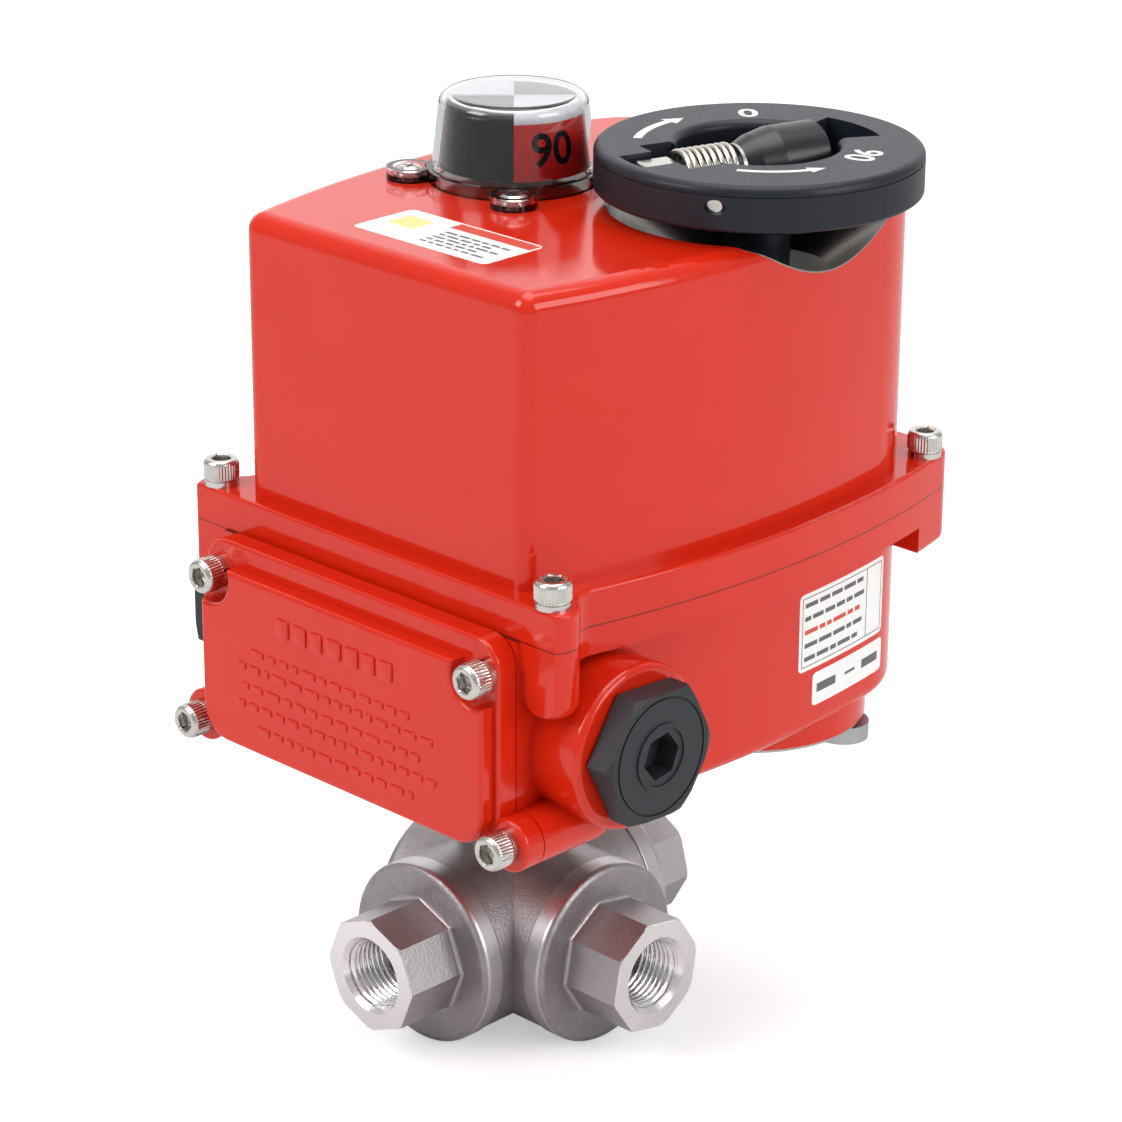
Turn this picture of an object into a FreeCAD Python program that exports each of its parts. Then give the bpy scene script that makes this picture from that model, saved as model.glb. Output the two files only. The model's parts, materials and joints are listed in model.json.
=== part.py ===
import FreeCAD, Part
import math
import os

# Motorized quarter-turn valve actuator on a three-way ball valve, in millimetres, +Z up.
# Origin: where the axes of the valve's three ports cross the axis of its stem.
# The output shaft stands on that origin. The casing is centred on the plane x = BODY_X.

V = FreeCAD.Vector
UP = V(0, 0, 1)
RIGHT = V(1, 0, 0)
BACK = V(0, 1, 0)

# ---- Casing, driving sizes ----
BODY_X = 26.3                # middle plane of the casing, measured from the output axis
WALL_HALF = 65.0             # half width of the casing wall at its widest
WALL_FRONT = -75.5           # front wall, y
WALL_REAR = 85.0             # rear wall, y
BOW_RADIUS = 300.0           # the side walls are bowed outward to this radius
BOW_Y = 8.0                  # y of the widest point
FRONT_CORNER = 5.0
REAR_CORNER = 33.0
WALL = 4.0                   # casting thickness
HOUSING_BOTTOM_Z = 78.0
HOUSING_HIGH = 57.5
COVER_HIGH = 90.3
FLOOR = 5.0
ROOM_CORNER = 3.0            # inside, at the front
TOP_EDGE = 5.0               # rounding of the cover's top edge
BOTTOM_EDGE = 4.5
PARTING_Z = HOUSING_BOTTOM_Z + HOUSING_HIGH
COVER_TOP_Z = PARTING_Z + COVER_HIGH
FLOOR_Z = HOUSING_BOTTOM_Z + FLOOR
FLANGE_OUT = 6.0             # how far the joint flange stands out of the side and rear walls
FLANGE_FRONT = WALL_FRONT - 5.5
FLANGE_CORNER = 8.0
FLANGE_FRONT_CORNER = 2.0
COVER_FLANGE = 10.4          # flange thickness on the cover
HOUSING_FLANGE = 8.0         # flange thickness on the housing
FLANGE_EDGE = 1.0
GASKET_DEPTH = 0.8
GASKET_IN = 0.8              # gasket groove, from the wall's outer face
GASKET_WIDE = 1.8
COVER_BACK_EDGE = 0.4        # chamfer round the terminal cover's back, which shows as the line of its joint

# ---- Cover screws, M6 ----
M6 = 3.0                     # shank radius
M6_HOLE = 3.3                # clearance hole
M6_HEAD = 5.0
M6_HEAD_HIGH = 6.0
M6_KEY = 5.0                 # across flats of the key socket
M6_KEY_DEEP = 3.2
M6_GRIP = 12.0               # thread engaged in the casting
HEAD_BEVEL = 0.6
WASHER_THICK = 1.6
WASHER_SLIT = 0.9
LUG_RADIUS = 7.0
LUG_BLEND = 9.0
REAR_LUG_SIZE = 17.0
REAR_LUG_IN = 3.0            # how far the lug reaches in past its half size
REAR_LUG_EDGE = 2.0
FRONT_SCREW_X = WALL_HALF - 0.7
FRONT_SCREW_Y = WALL_FRONT - 0.8
REAR_SCREW_X = WALL_HALF - 6.7
REAR_SCREW_Y = WALL_REAR - 4.9
FRONT_LUG_Z = PARTING_Z - 19.5
REAR_LUG_Z = PARTING_Z - 16.5

# ---- Terminal compartment and its cover, on the front ----
TERM_HALF = WALL_HALF - 8.0
TERM_FRONT = WALL_FRONT - 6.5          # joint plane of the terminal cover
TERM_BOX_DEEP = 22.0
TERM_ROOM_HALF = TERM_HALF - 9.0       # wiring space
TERM_ROOM_BACK = TERM_FRONT + 40.0
TERM_ROOM_LOW = HOUSING_BOTTOM_Z + 8.0
TERM_ROOM_HIGH = PARTING_Z - 17.5
PARTITION = 4.0
WIRE_HOLE = 7.0
TERM_PLATE = 6.7             # thickness of the cover's base
TERM_PANEL = 4.5             # height of the raised panel on it
TERM_PLATE_TOP = PARTING_Z + 1.0
TERM_PLATE_CORNER = 8.0
TERM_PLATE_EDGE = 1.0
PANEL_HALF = TERM_HALF - 2.0
PANEL_LOW = HOUSING_BOTTOM_Z + 0.8
PANEL_HIGH = PARTING_Z - 5.6
PANEL_CORNER = 9.5
PANEL_EDGE = 1.2
TERM_TOP_SCREW_X = TERM_HALF - 5.0
TERM_TOP_SCREW_Z = PARTING_Z - 8.8
TERM_LOW_SCREW_X = TERM_HALF + 3.0
TERM_LOW_SCREW_Z = HOUSING_BOTTOM_Z + 3.0
EAR_RADIUS = 7.5
EAR_LONG = 25.7
EAR_END = 3.0                # rounding of the ear's rear end
NOTCH_GAP = 0.7              # between screw ear and the raised panel
GASKET_ROOM = 1.6            # from the wiring space to its gasket
GASKET_BAND = 2.0
TERM_BLOCK_HALF = 33.0
TERM_BLOCK_DEEP = 12.0
TERM_BLOCK_HIGH = 16.0
TERM_WAYS = 10
TERM_SCREW = 2.2             # screw hole of one way
TERM_WIRE = 1.8              # half width of its wire entry

# ---- Conduit entries, one on each side ----
CONDUIT_Y = TERM_FRONT + 27.5
CONDUIT_Z = HOUSING_BOTTOM_Z + 24.8
CONDUIT_BOSS = 23.0
CONDUIT_END = WALL_HALF + 9.4          # boss face, from the middle plane
CONDUIT_EDGE = 2.0
CONDUIT_THREAD = 12.4
PLUG_FLATS = 35.0
PLUG_THICK = 7.5
PLUG_SHANK = 14.0
PLUG_KEY = 11.5
PLUG_KEY_DEEP = 6.5
PLUG_GASKET = 0.8
PLUG_CROWN = 3.0             # how far the corners stand out of the flats' circle
PLUG_BEVEL = 1.2
PLUG_GROOVE = 16.1           # mean radius of the groove round the face
PLUG_GROOVE_WIDE = 0.6
PLUG_RING = 8.7              # mean radius of the raised ring round the key
PLUG_RING_WIDE = 1.0
PLUG_LINE = 0.5              # depth of the groove and height of the ring
PLUG_TURNS = ((1, 26.5), (-1, 0.0))    # side, and direction of a corner, degrees

# ---- Gear train, all spur gears on upright axles ----
MODULE = 1.0
PRESSURE = math.radians(20)
ADDENDUM = 0.8
DEDENDUM = 1.1
BACKLASH = 0.12              # taken off each tooth, on each flank
OUTPUT_TEETH = 56
SMALL_TEETH = 14             # pinion under the intermediate wheel
LARGE_TEETH = 58             # intermediate wheel
PINION_TEETH = 14            # motor pinion and hand-wheel pinion
INTER_ANGLE = 19.0           # direction of the intermediate axle from the output axis, degrees
WHEEL_ANGLE = 28.9           # direction of the hand-wheel axis from the intermediate axle
MOTOR_ANGLE = -20.0          # direction of the motor pinion from the intermediate axle
LOW_GEAR_THICK = 12.5
HIGH_GEAR_THICK = 7.0
GEAR_STEP = 3.0              # between the lower and the upper gears
LOW_GEAR_Z = FLOOR_Z + 2.5
HIGH_GEAR_Z = LOW_GEAR_Z + LOW_GEAR_THICK + GEAR_STEP
GEAR_PLATE_THICK = 4.0
GEAR_PLATE_Z = HIGH_GEAR_Z + HIGH_GEAR_THICK + 4.0
PLATE_TOP_Z = GEAR_PLATE_Z + GEAR_PLATE_THICK
PLATE_GAP = 2.5              # between gear plate and casing wall
LIGHTENING = 5.5             # holes in the intermediate wheel
LIGHTENING_AT = 18.0
LIGHTENING_COUNT = 6
RUN = 0.05                   # radial clearance of a running fit

# ---- Shafts ----
OUTPUT_SHAFT = 14.0
OUTPUT_COLLAR = 17.0
GEAR_SEAT = 12.0
OUTPUT_NECK = 10.0
OUTPUT_NECK_LONG = 1.5       # neck above the output gear, under the intermediate wheel
BUSH_WALL = 2.0
INDICATOR_SHAFT = 4.2        # passes beside the intermediate wheel
INDICATOR_SEAT = 8.0         # length of the indicator shaft in the output shaft
INTER_AXLE = 4.0
GEAR_HUB = 9.0
MOTOR_SHAFT = 3.0
WHEEL_SHAFT = 5.0
SQUARE_DRIVE = 11.0          # across flats of the stem's square
SHAFT_END_GAP = 0.4
SHAFT_CLEAR = 1.0            # round a shaft in a plain hole
NECK_TOP_Z = LOW_GEAR_Z + LOW_GEAR_THICK + OUTPUT_NECK_LONG

# ---- Motor and electrical pieces ----
SMALL_SCREW = 1.5
SMALL_HEAD = 2.8
SMALL_HEAD_HIGH = 2.1
GEARHEAD_OFFSET = (-11.9, -9.1)   # gearhead axis from the pinion axis
GEARHEAD = 19.0
GEARHEAD_FLANGE = 24.0
GEARHEAD_FLANGE_THICK = 3.0
MOTOR_OFFSET = (-9.0, -10.0)      # motor axis from the gearhead axis
MOTOR = 28.0
MOTOR_FOOT_Z = PARTING_Z + 1.0
MOTOR_HIGH = 58.0
MOTOR_EDGE = 2.0
MOTOR_GROOVE = 0.8
MOTOR_LINES = (8.0, 42.0)     # heights of the grooves round the can
MOTOR_SHAFT_IN = 13.0        # shaft inside the gearhead
CAPACITOR = 12.0
CAPACITOR_HIGH = 52.0
CAPACITOR_AT = (-12.0, WALL_FRONT + 23.5)
CLIP = 1.2
CLIP_FOOT = 1.5
CLIP_HIGH = 12.0
CAM = 11.0
CAM_LOBE = 14.0
CAM_THICK = 5.0
CAM_LEVELS = (PLATE_TOP_Z + 30.0, PLATE_TOP_Z + 44.0)
SWITCH_GAP = 0.4
PLUNGER = 3.0
SWITCH_DEEP = 10.0
SWITCH_HALF = 10.0
BRACKET_HALF = 14.0
BRACKET_THICK = 2.0
BRACKET_FOOT = 14.0
HEATER_AT = (-20.0, -32.0)
HEATER_WIDE = 12.0
HEATER_LONG = 26.0
HEATER_HIGH = 9.0
HEATER_SLOTS = 5

# ---- Position indicator ----
DOME_FLANGE = 24.0
DOME_FLANGE_THICK = 3.6
DOME_FOOT = 22.8
DOME_CROWN = 20.4
DOME_HIGH = 24.7
DOME_WALL = 1.5
DOME_EDGE = 3.0
EAR_AT = 20.3                # x and y of the dome screws
DOME_EAR = 6.5
DOME_SCREW_GAP = 0.3
DOME_EAR_SEAT = 1.4          # height of the washer's seat in the ear
DOME_SCREW = 2.0
DOME_SCREW_LONG = 7.0
DOME_SCREW_HEAD = 3.9
DOME_HEAD_HIGH = 1.7
DOME_WASHER = 4.4
DOME_WASHER_THICK = 0.5
DRUM_FOOT = 19.9
DRUM_CROWN = 18.3
DRUM_EDGE = 2.4
DRUM_GAP = 0.7               # from the drum's top to the window
DRUM_WALL = 2.0
DRUM_HUB = 7.5
DRUM_CENTRE = 2.0            # plain middle boss on the drum's top
SECTOR_THICK = 0.6
DOME_TOP_Z = COVER_TOP_Z + DOME_HIGH
DRUM_TOP_Z = DOME_TOP_Z - DOME_WALL - DRUM_GAP
DRUM_LOW_Z = COVER_TOP_Z + 4.6

# ---- Dish in the cover under the hand wheel ----
DISH_DEEP = 17.8
DISH_FLOOR = 20.0
DISH_RIM = 41.6
SHAFT_BOSS = 11.0
SHAFT_BOSS_LONG = 16.0
INDICATOR_BOSS_LONG = 13.8
DISH_FLOOR_Z = COVER_TOP_Z - DISH_DEEP
SHAFT_BOSS_Z = DISH_FLOOR_Z - SHAFT_BOSS_LONG
INDICATOR_BOSS_Z = COVER_TOP_Z - INDICATOR_BOSS_LONG

# ---- Hand wheel and its folding crank ----
WHEEL_RADIUS = 44.7
WHEEL_THICK = 12.5
WHEEL_GAP = 4.5              # over the cover
WHEEL_TOP_EDGE = 2.2
WHEEL_LOW_EDGE = 1.2
WHEEL_LINE_Z = 2.9           # parting line on the side, below the top
WHEEL_LINE = 0.35
HUB_DISC = 28.5
HUB_DISC_HIGH = 5.3
HUB_DISC_BEVEL = 1.0
HUB_DISC_WALL = 1.6
POCKET_SKIN = 1.4            # under the pocket
HUB = 9.0
WHEEL_LOW_Z = COVER_TOP_Z + WHEEL_GAP
WHEEL_TOP_Z = WHEEL_LOW_Z + WHEEL_THICK
HUB_LOW_Z = DISH_FLOOR_Z + 1.0
POCKET = 22.0                # round finger recess
POCKET_OFFSET = (-1.1, 0.7)
HUB_DISC_Z = WHEEL_LOW_Z - HUB_DISC_HIGH
POCKET_FLOOR_Z = HUB_DISC_Z + POCKET_SKIN
WHEEL_SHAFT_TOP_Z = HUB_DISC_Z - 1.0
POCKET_EDGE = 2.4
NOTCH_RADIUS = 34.0          # outer reach of the finger notch beside the grip
NOTCH_FROM = 58.0            # degrees
NOTCH_TO = 98.0
NOTCH_FLOOR_Z = WHEEL_LOW_Z + 2.1
CRANK_ANGLE = 74.2           # direction of the folded crank, which lies on a diameter, degrees
PIVOT_RADIUS = 32.8          # pivot of the crank, from the wheel's axis
CRANK_Z = WHEEL_TOP_Z - 5.9
CRANK_BLOCK = 4.5            # half size of the square eye
CRANK_BLOCK_BACK = 3.5       # behind the pivot
CRANK_BLOCK_LONG = 6.2       # in front of it
CRANK_BLOCK_EDGE = 1.2
CRANK_SLOT_GAP = 1.9         # between the eye and the side of its slot
CRANK_SLOT_DEEP = 5.9        # below the pivot
CRANK_SLOT_REACH = 40.7      # round outer end of the slot, from the wheel's axis
SPRING_ROOM_HALF = 13.0      # room beside the spring
SPRING_ROOM_FROM = 2.8       # from the pivot
SPRING_ROOM_TO = 13.5
CRANK_PIN = 2.0
PIN_BEHIND = 10.0            # pin length on the far side of the eye
PIN_SUNK = 1.4               # outer end of the pin, below the rim
CRANK_ROD = 3.0
PULL = 4.0                   # travel of the sleeve against the spring
SPRING_COIL = 6.6            # mean radius
SPRING_WIRE = 0.8
SPRING_FROM = CRANK_BLOCK_LONG + 0.4
SPRING_LONG = 17.6
SPRING_TO = SPRING_FROM + SPRING_LONG
END_GAP = 0.1
SLEEVE = 4.6
SLEEVE_FLANGE = SPRING_COIL    # the spring bears on it
SLEEVE_FLANGE_THICK = 1.0
GRIP_NECK = 6.6
GRIP_SHOULDER = 8.5
GRIP_SHOULDER_AT = 29.5
GRIP = 10.0
GRIP_TAPER_TO = 36.0
GRIP_END = 50.5
GRIP_EDGE = 0.8
GRIP_BORE_END = GRIP_END - 1.6
ROD_END = GRIP_BORE_END - PULL - 0.6

# ---- Declutch lever under the housing ----
BOSS_AT = (54.0, 40.0)
BOSS_RADIUS = 35.0
BOSS_DEEP = 5.4
BOSS_PLATE = 1.0
BOSS_PLATE_IN = 0.6          # inside the boss's edge
BOSS_PLATE_GAP = 1.0         # round the mounting pad
LEVER_AT = (56.0, 44.0)
LEVER_SHAFT = 4.0
LEVER_REACH = 26.0
LEVER_ANGLE = 21.0
LEVER_THICK = 5.0
LEVER_HUB = 8.0
LEVER_TIP = 7.5
LEVER_GAP = 0.4
DECLUTCH_CAM = 6.5
DECLUTCH_FINGER = 11.0
DECLUTCH_FINGER_HALF = 2.5
DECLUTCH_THICK = 6.0
DECLUTCH_TURN = 70.0         # finger direction from the lever's
BOSS_Z = HOUSING_BOTTOM_Z - BOSS_DEEP
LEVER_Z = BOSS_Z - BOSS_PLATE - LEVER_GAP - LEVER_THICK
DECLUTCH_Z = FLOOR_Z + 3.0

# ---- Valve ----
ARM = 27.2                   # radius of the body's arms
ARM_END = 31.4
BLIND_EDGE = 3.5             # rounding of the closed fourth arm
CAP_RADIUS = 27.6
CAP_THICK = 7.0
CAP_FACE = ARM_END + CAP_THICK
CAP_EDGE = 2.0
CAP_LINE = 0.4               # rounding at the joint of arm and cap
PORT_FACE = CAP_FACE + 19.9
PORT_SIDES = 8
PORT_FLATS = 32.6
PORT_RING = 17.0             # round edge of the port's face
PORT_BEVEL = 1.4
PORT_ROOT = 1.0              # rounding where the octagon meets its cap
PORT_THREAD = 10.4
PORT_THREAD_LONG = 15.0
PORT_BORE = 9.0
COUNTERSINK = 1.3
BALL = 17.0
SPIGOT = BALL + 0.6          # the ball goes in through the bore of an arm
SPIGOT_FROM = SPIGOT + 0.2
SEAT = 12.5
SEAT_FROM = SEAT + 0.3
SEAT_TO = BALL + 3.0
BALL_GAP = 0.3
CAVITY = BALL + 1.5
STEM = 8.0
TANG = 7.0
TANG_DEEP = 5.0              # depth of the ball's slot
TANG_GAP = 0.6               # between the ball and the stem's shoulder
PAD_DEEP = 8.0               # mounting pad below the housing
PAD_Z = HOUSING_BOTTOM_Z - PAD_DEEP    # joint between valve flange and actuator
PAD_RADIUS = 30.0
STEM_TOP_Z = PAD_Z + 2.0
SQUARE_TOP_Z = STEM_TOP_Z + 14.0
NECK = 17.0
PACKING = 12.0
PACKING_RINGS = 3
VALVE_FLANGE_THICK = 10.0
VALVE_FLANGE_Z = PAD_Z - VALVE_FLANGE_THICK
GLAND_TOP_Z = VALVE_FLANGE_Z - 2.0
GLAND_Z = GLAND_TOP_Z - 6.0
GLAND_SLOT = 3.0
GLAND_SLOT_DEEP = 2.0
PACKING_Z = GLAND_Z - 10.0
VALVE_FLANGE_HALF = 26.0
VALVE_FLANGE_CORNER = 9.0
MOUNT_PCD = 50.0             # F05 pattern, four M6
MOUNT_GRIP = 9.0

# ---- Places worked out from the gears ----


def polar(start, radius, degrees):
    """Point at a distance and direction from another, in plan."""
    angle = math.radians(degrees)
    return (start[0] + radius * math.cos(angle), start[1] + radius * math.sin(angle))


def shifted(start, offset):
    return (start[0] + offset[0], start[1] + offset[1])


LOW_CENTRES = MODULE * (OUTPUT_TEETH + SMALL_TEETH) / 2
HIGH_CENTRES = MODULE * (LARGE_TEETH + PINION_TEETH) / 2
INTER_AT = polar((0, 0), LOW_CENTRES, INTER_ANGLE)
WHEEL_AT = polar(INTER_AT, HIGH_CENTRES, WHEEL_ANGLE)
MOTOR_AT = polar(INTER_AT, HIGH_CENTRES, MOTOR_ANGLE)
GEARHEAD_AT = shifted(MOTOR_AT, GEARHEAD_OFFSET)
CAN_AT = shifted(GEARHEAD_AT, MOTOR_OFFSET)
PIVOT_AT = polar(WHEEL_AT, PIVOT_RADIUS, CRANK_ANGLE + 180)
POCKET_AT = shifted(WHEEL_AT, POCKET_OFFSET)
COVER_SCREW_PLACES = [
    (BODY_X + side * FRONT_SCREW_X, FRONT_SCREW_Y) for side in (-1, 1)
] + [(BODY_X + side * REAR_SCREW_X, REAR_SCREW_Y) for side in (-1, 1)]
TERM_SCREW_PLACES = [
    (BODY_X + side * TERM_TOP_SCREW_X, TERM_TOP_SCREW_Z) for side in (-1, 1)
] + [(BODY_X + side * TERM_LOW_SCREW_X, TERM_LOW_SCREW_Z) for side in (-1, 1)]
POST_RADIUS = 4.5
POST_FRONT_Y = TERM_ROOM_BACK + PARTITION + 8.0
POST_PLACES = [(BODY_X - WALL_HALF + 12.7, POST_FRONT_Y), (BODY_X - WALL_HALF + 14.7, WALL_REAR - 35.0),
               (BODY_X + WALL_HALF - 13.3, POST_FRONT_Y + 3), (BODY_X + WALL_HALF - 18.3, WALL_REAR - 30.0)]
DOME_SCREW_PLACES = [(sx * EAR_AT, sy * EAR_AT) for sx in (-1, 1) for sy in (-1, 1)]
BOLT_PLACES = [polar((0, 0), MOUNT_PCD / 2, 45 + 90 * k) for k in range(4)]


# ---- Plain shapes ----


def cyl(radius, height, at, axis=UP):
    return Part.makeCylinder(radius, height, V(*at), axis)


def ring(outer, inner, height, at, axis=UP):
    return cyl(outer, height, at, axis).cut(cyl(inner, height, at, axis))


def block(x0, x1, y0, y1, z0, z1):
    return Part.makeBox(x1 - x0, y1 - y0, z1 - z0, V(x0, y0, z0))


def turned(profile, at=(0, 0, 0), axis=UP):
    """Body of revolution from (radius, height) points, on an axis through a point."""
    wire = Part.makePolygon([V(r, 0, z) for r, z in profile] + [V(profile[0][0], 0, profile[0][1])])
    solid = Part.Face(wire).revolve(V(0, 0, 0), UP, 360)
    solid.Placement = FreeCAD.Placement(V(*at), FreeCAD.Rotation(UP, axis))
    return solid


def prism(sides, flats, height, at, axis=UP, turn=0.0):
    """Regular prism, by its size across flats; turn is the direction of its first corner."""
    corner = flats / 2 / math.cos(math.pi / sides)
    points = [V(*polar((0, 0), corner, turn + 360.0 / sides * k), 0) for k in range(sides + 1)]
    solid = Part.Face(Part.makePolygon(points)).extrude(V(0, 0, height))
    solid.Placement = FreeCAD.Placement(V(*at), FreeCAD.Rotation(UP, axis))
    return solid


def upright_edges(shape, test):
    """Edges parallel to Z whose place in plan passes the test."""
    found = []
    for edge in shape.Edges:
        box = edge.BoundBox
        if box.XLength < 1e-3 and box.YLength < 1e-3 and test(box.XMin, box.YMin):
            found.append(edge)
    return found


def level_edges(shape, z):
    """Edges that lie at one height."""
    return [e for e in shape.Edges if abs(e.BoundBox.ZMin - z) < 1e-3 and abs(e.BoundBox.ZMax - z) < 1e-3]


def union(first, *others):
    return first.fuse(list(others)).removeSplitter()


def bowed(inset, front, rear, front_corner, rear_corner, z0, z1):
    """Upright block with the casing's bowed sides, moved in by inset, or out where it is negative."""
    half = WALL_HALF - inset
    radius = BOW_RADIUS - inset
    centre = half - radius
    shape = block(BODY_X - half - 1, BODY_X + half + 1, front, rear, z0, z1)
    for side in (-1, 1):
        shape = shape.common(cyl(radius, z1 - z0, (BODY_X + side * centre, BOW_Y, z0)))
    fronts = upright_edges(shape, lambda x, y: abs(y - front) < 0.1)
    shape = shape.makeFillet(front_corner, fronts)
    rears = upright_edges(shape, lambda x, y: abs(y - rear) < 0.1)
    return shape.makeFillet(rear_corner, rears)


def save(name, *solids):
    """Write one node, a single solid or a group of separate solids."""
    shape = solids[0] if len(solids) == 1 else Part.Compound(list(solids))
    shape.exportStep(os.path.join("parts", name + ".step"))


# ---- Fasteners ----


def socket_screw(at, axis, shank):
    """M6 socket-head screw; at is the seat of its head, axis points out of the head."""
    head = turned([(0, 0), (M6_HEAD, 0), (M6_HEAD, M6_HEAD_HIGH - HEAD_BEVEL),
                   (M6_HEAD - HEAD_BEVEL, M6_HEAD_HIGH), (0, M6_HEAD_HIGH)])
    head = head.cut(prism(6, M6_KEY, M6_KEY_DEEP + 1, (0, 0, M6_HEAD_HIGH - M6_KEY_DEEP)))
    screw = union(head, cyl(M6, shank, (0, 0, -shank)))
    screw.Placement = FreeCAD.Placement(V(*at), FreeCAD.Rotation(UP, axis))
    return screw


def spring_washer(at, axis, turn):
    """Split spring washer."""
    washer = ring(M6_HEAD - 0.2, M6 + 0.1, WASHER_THICK, (0, 0, 0))
    slit = block(M6 - 1, M6_HEAD + 1, -WASHER_SLIT / 2, WASHER_SLIT / 2, -1, WASHER_THICK + 1)
    slit.rotate(V(0, 0, 0), UP, turn)
    washer = washer.cut(slit)
    washer.Placement = FreeCAD.Placement(V(*at), FreeCAD.Rotation(UP, axis))
    return washer


# ---- Gears ----


def gear_blank(teeth, thick, at, z, phase):
    """Involute spur gear with stub teeth; phase is the direction of one tooth, degrees."""
    pitch = MODULE * teeth / 2
    base = pitch * math.cos(PRESSURE)
    tip = pitch + ADDENDUM * MODULE
    root = pitch - DEDENDUM * MODULE
    half_pitch = math.pi / (2 * teeth) - BACKLASH / pitch
    inv = math.tan(PRESSURE) - PRESSURE

    def flank(radius):
        alpha = math.acos(min(1.0, base / radius))
        return half_pitch + inv - (math.tan(alpha) - alpha)

    start = max(base, root)
    radii = [start + (tip - start) * k / 4 for k in range(5)]
    shape = cyl(root, thick, (0, 0, z))
    tooth_points = [V(root - 0.3, -root * math.tan(flank(start)), z)]
    tooth_points += [V(*polar((0, 0), r, -math.degrees(flank(r))), z) for r in radii]
    tooth_points += [V(*polar((0, 0), r, math.degrees(flank(r))), z) for r in reversed(radii)]
    tooth_points += [V(root - 0.3, root * math.tan(flank(start)), z)]
    tooth = Part.Face(Part.makePolygon(tooth_points + [tooth_points[0]])).extrude(V(0, 0, thick))
    copies = []
    for k in range(teeth):
        copy = tooth.copy()
        copy.rotate(V(0, 0, 0), UP, phase + 360.0 * k / teeth)
        copies.append(copy)
    shape = shape.fuse(copies)
    shape.translate(V(at[0], at[1], 0))
    return shape


def mesh_phase(driver_teeth, driver_phase, teeth, direction):
    """Tooth direction that puts a gear in mesh with its driver, which lies behind direction."""
    return direction + 180 + 180.0 / teeth + (direction - driver_phase) * driver_teeth / teeth


# ---- Casing ----


def flange_plate(z0, z1):
    """Joint flange outline shared by housing and cover, with its two front lugs."""
    rear = WALL_REAR + FLANGE_OUT
    plate = bowed(-FLANGE_OUT, FLANGE_FRONT, rear, FLANGE_FRONT_CORNER, FLANGE_CORNER, z0, z1)
    for side in (-1, 1):
        x = BODY_X + side * FRONT_SCREW_X
        lug = cyl(LUG_RADIUS, z1 - z0, (x, FRONT_SCREW_Y, z0))
        inner = sorted((x, BODY_X + side * (FRONT_SCREW_X - 12)))
        lug = lug.fuse(block(inner[0], inner[1], FRONT_SCREW_Y - 5, FRONT_SCREW_Y + LUG_RADIUS, z0, z1))
        lug = lug.common(block(x - 20, x + 20, FLANGE_FRONT, FRONT_SCREW_Y + 20, z0, z1))
        plate = union(plate, lug)
    side_edge = WALL_HALF + FLANGE_OUT

    def in_crook(x, y):
        return 50 < abs(x - BODY_X) < side_edge and FRONT_SCREW_Y + 3 < y < FRONT_SCREW_Y + 9

    return plate.makeFillet(LUG_BLEND, upright_edges(plate, in_crook))


def rear_lugs(z0, z1):
    """Squared lugs under the two rear corners of the flange."""
    rear = WALL_REAR + FLANGE_OUT
    plate = bowed(-FLANGE_OUT, FLANGE_FRONT, rear, FLANGE_FRONT_CORNER, FLANGE_CORNER, z0, z1)
    plate = plate.makeFillet(REAR_LUG_EDGE, level_edges(plate, z0))
    lugs = []
    for side in (-1, 1):
        x = BODY_X + side * (REAR_SCREW_X + 1)
        half = REAR_LUG_SIZE / 2
        corner = block(x - half - REAR_LUG_IN, x + half + REAR_LUG_IN, REAR_SCREW_Y - half, rear + 1, z0, z1)
        corner = corner.makeFillet(REAR_LUG_EDGE, level_edges(corner, z0))
        lugs.append(plate.common(corner))
    return lugs


def front_lugs(z0, z1):
    """Round lugs carried down from the flange at the two front corners."""
    lugs = []
    for side in (-1, 1):
        x = BODY_X + side * FRONT_SCREW_X
        lug = cyl(LUG_RADIUS, z1 - z0, (x, FRONT_SCREW_Y, z0))
        lug = lug.makeFillet(LUG_RADIUS * 0.6, level_edges(lug, z0))
        inner = sorted((x, BODY_X + side * (TERM_HALF - 4)))
        web = block(inner[0], inner[1], FRONT_SCREW_Y - 4, FRONT_SCREW_Y + 6, z0 + 3, z1)
        lug = lug.fuse(web)
        lugs.append(lug.common(block(x - 20, x + 20, FLANGE_FRONT, FRONT_SCREW_Y + 20, z0, z1)))
    return lugs


def terminal_box():
    """Front of the housing round the wiring space, with the ears of the lower screws."""
    shape = block(BODY_X - TERM_HALF, BODY_X + TERM_HALF, TERM_FRONT, TERM_FRONT + TERM_BOX_DEEP,
                  HOUSING_BOTTOM_Z, PARTING_Z)
    low = [e for e in shape.Edges if e.BoundBox.YLength > 10 and e.BoundBox.ZMax < HOUSING_BOTTOM_Z + 1]
    shape = shape.makeFillet(TERM_PLATE_CORNER, low)
    for side in (-1, 1):
        x = BODY_X + side * TERM_LOW_SCREW_X
        ear = cyl(EAR_RADIUS, EAR_LONG, (x, TERM_FRONT, TERM_LOW_SCREW_Z), BACK)
        back = [e for e in ear.Edges if e.BoundBox.YMin > TERM_FRONT + EAR_LONG - 0.1]
        shape = shape.fuse(ear.makeFillet(EAR_END, back))
    return shape


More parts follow.
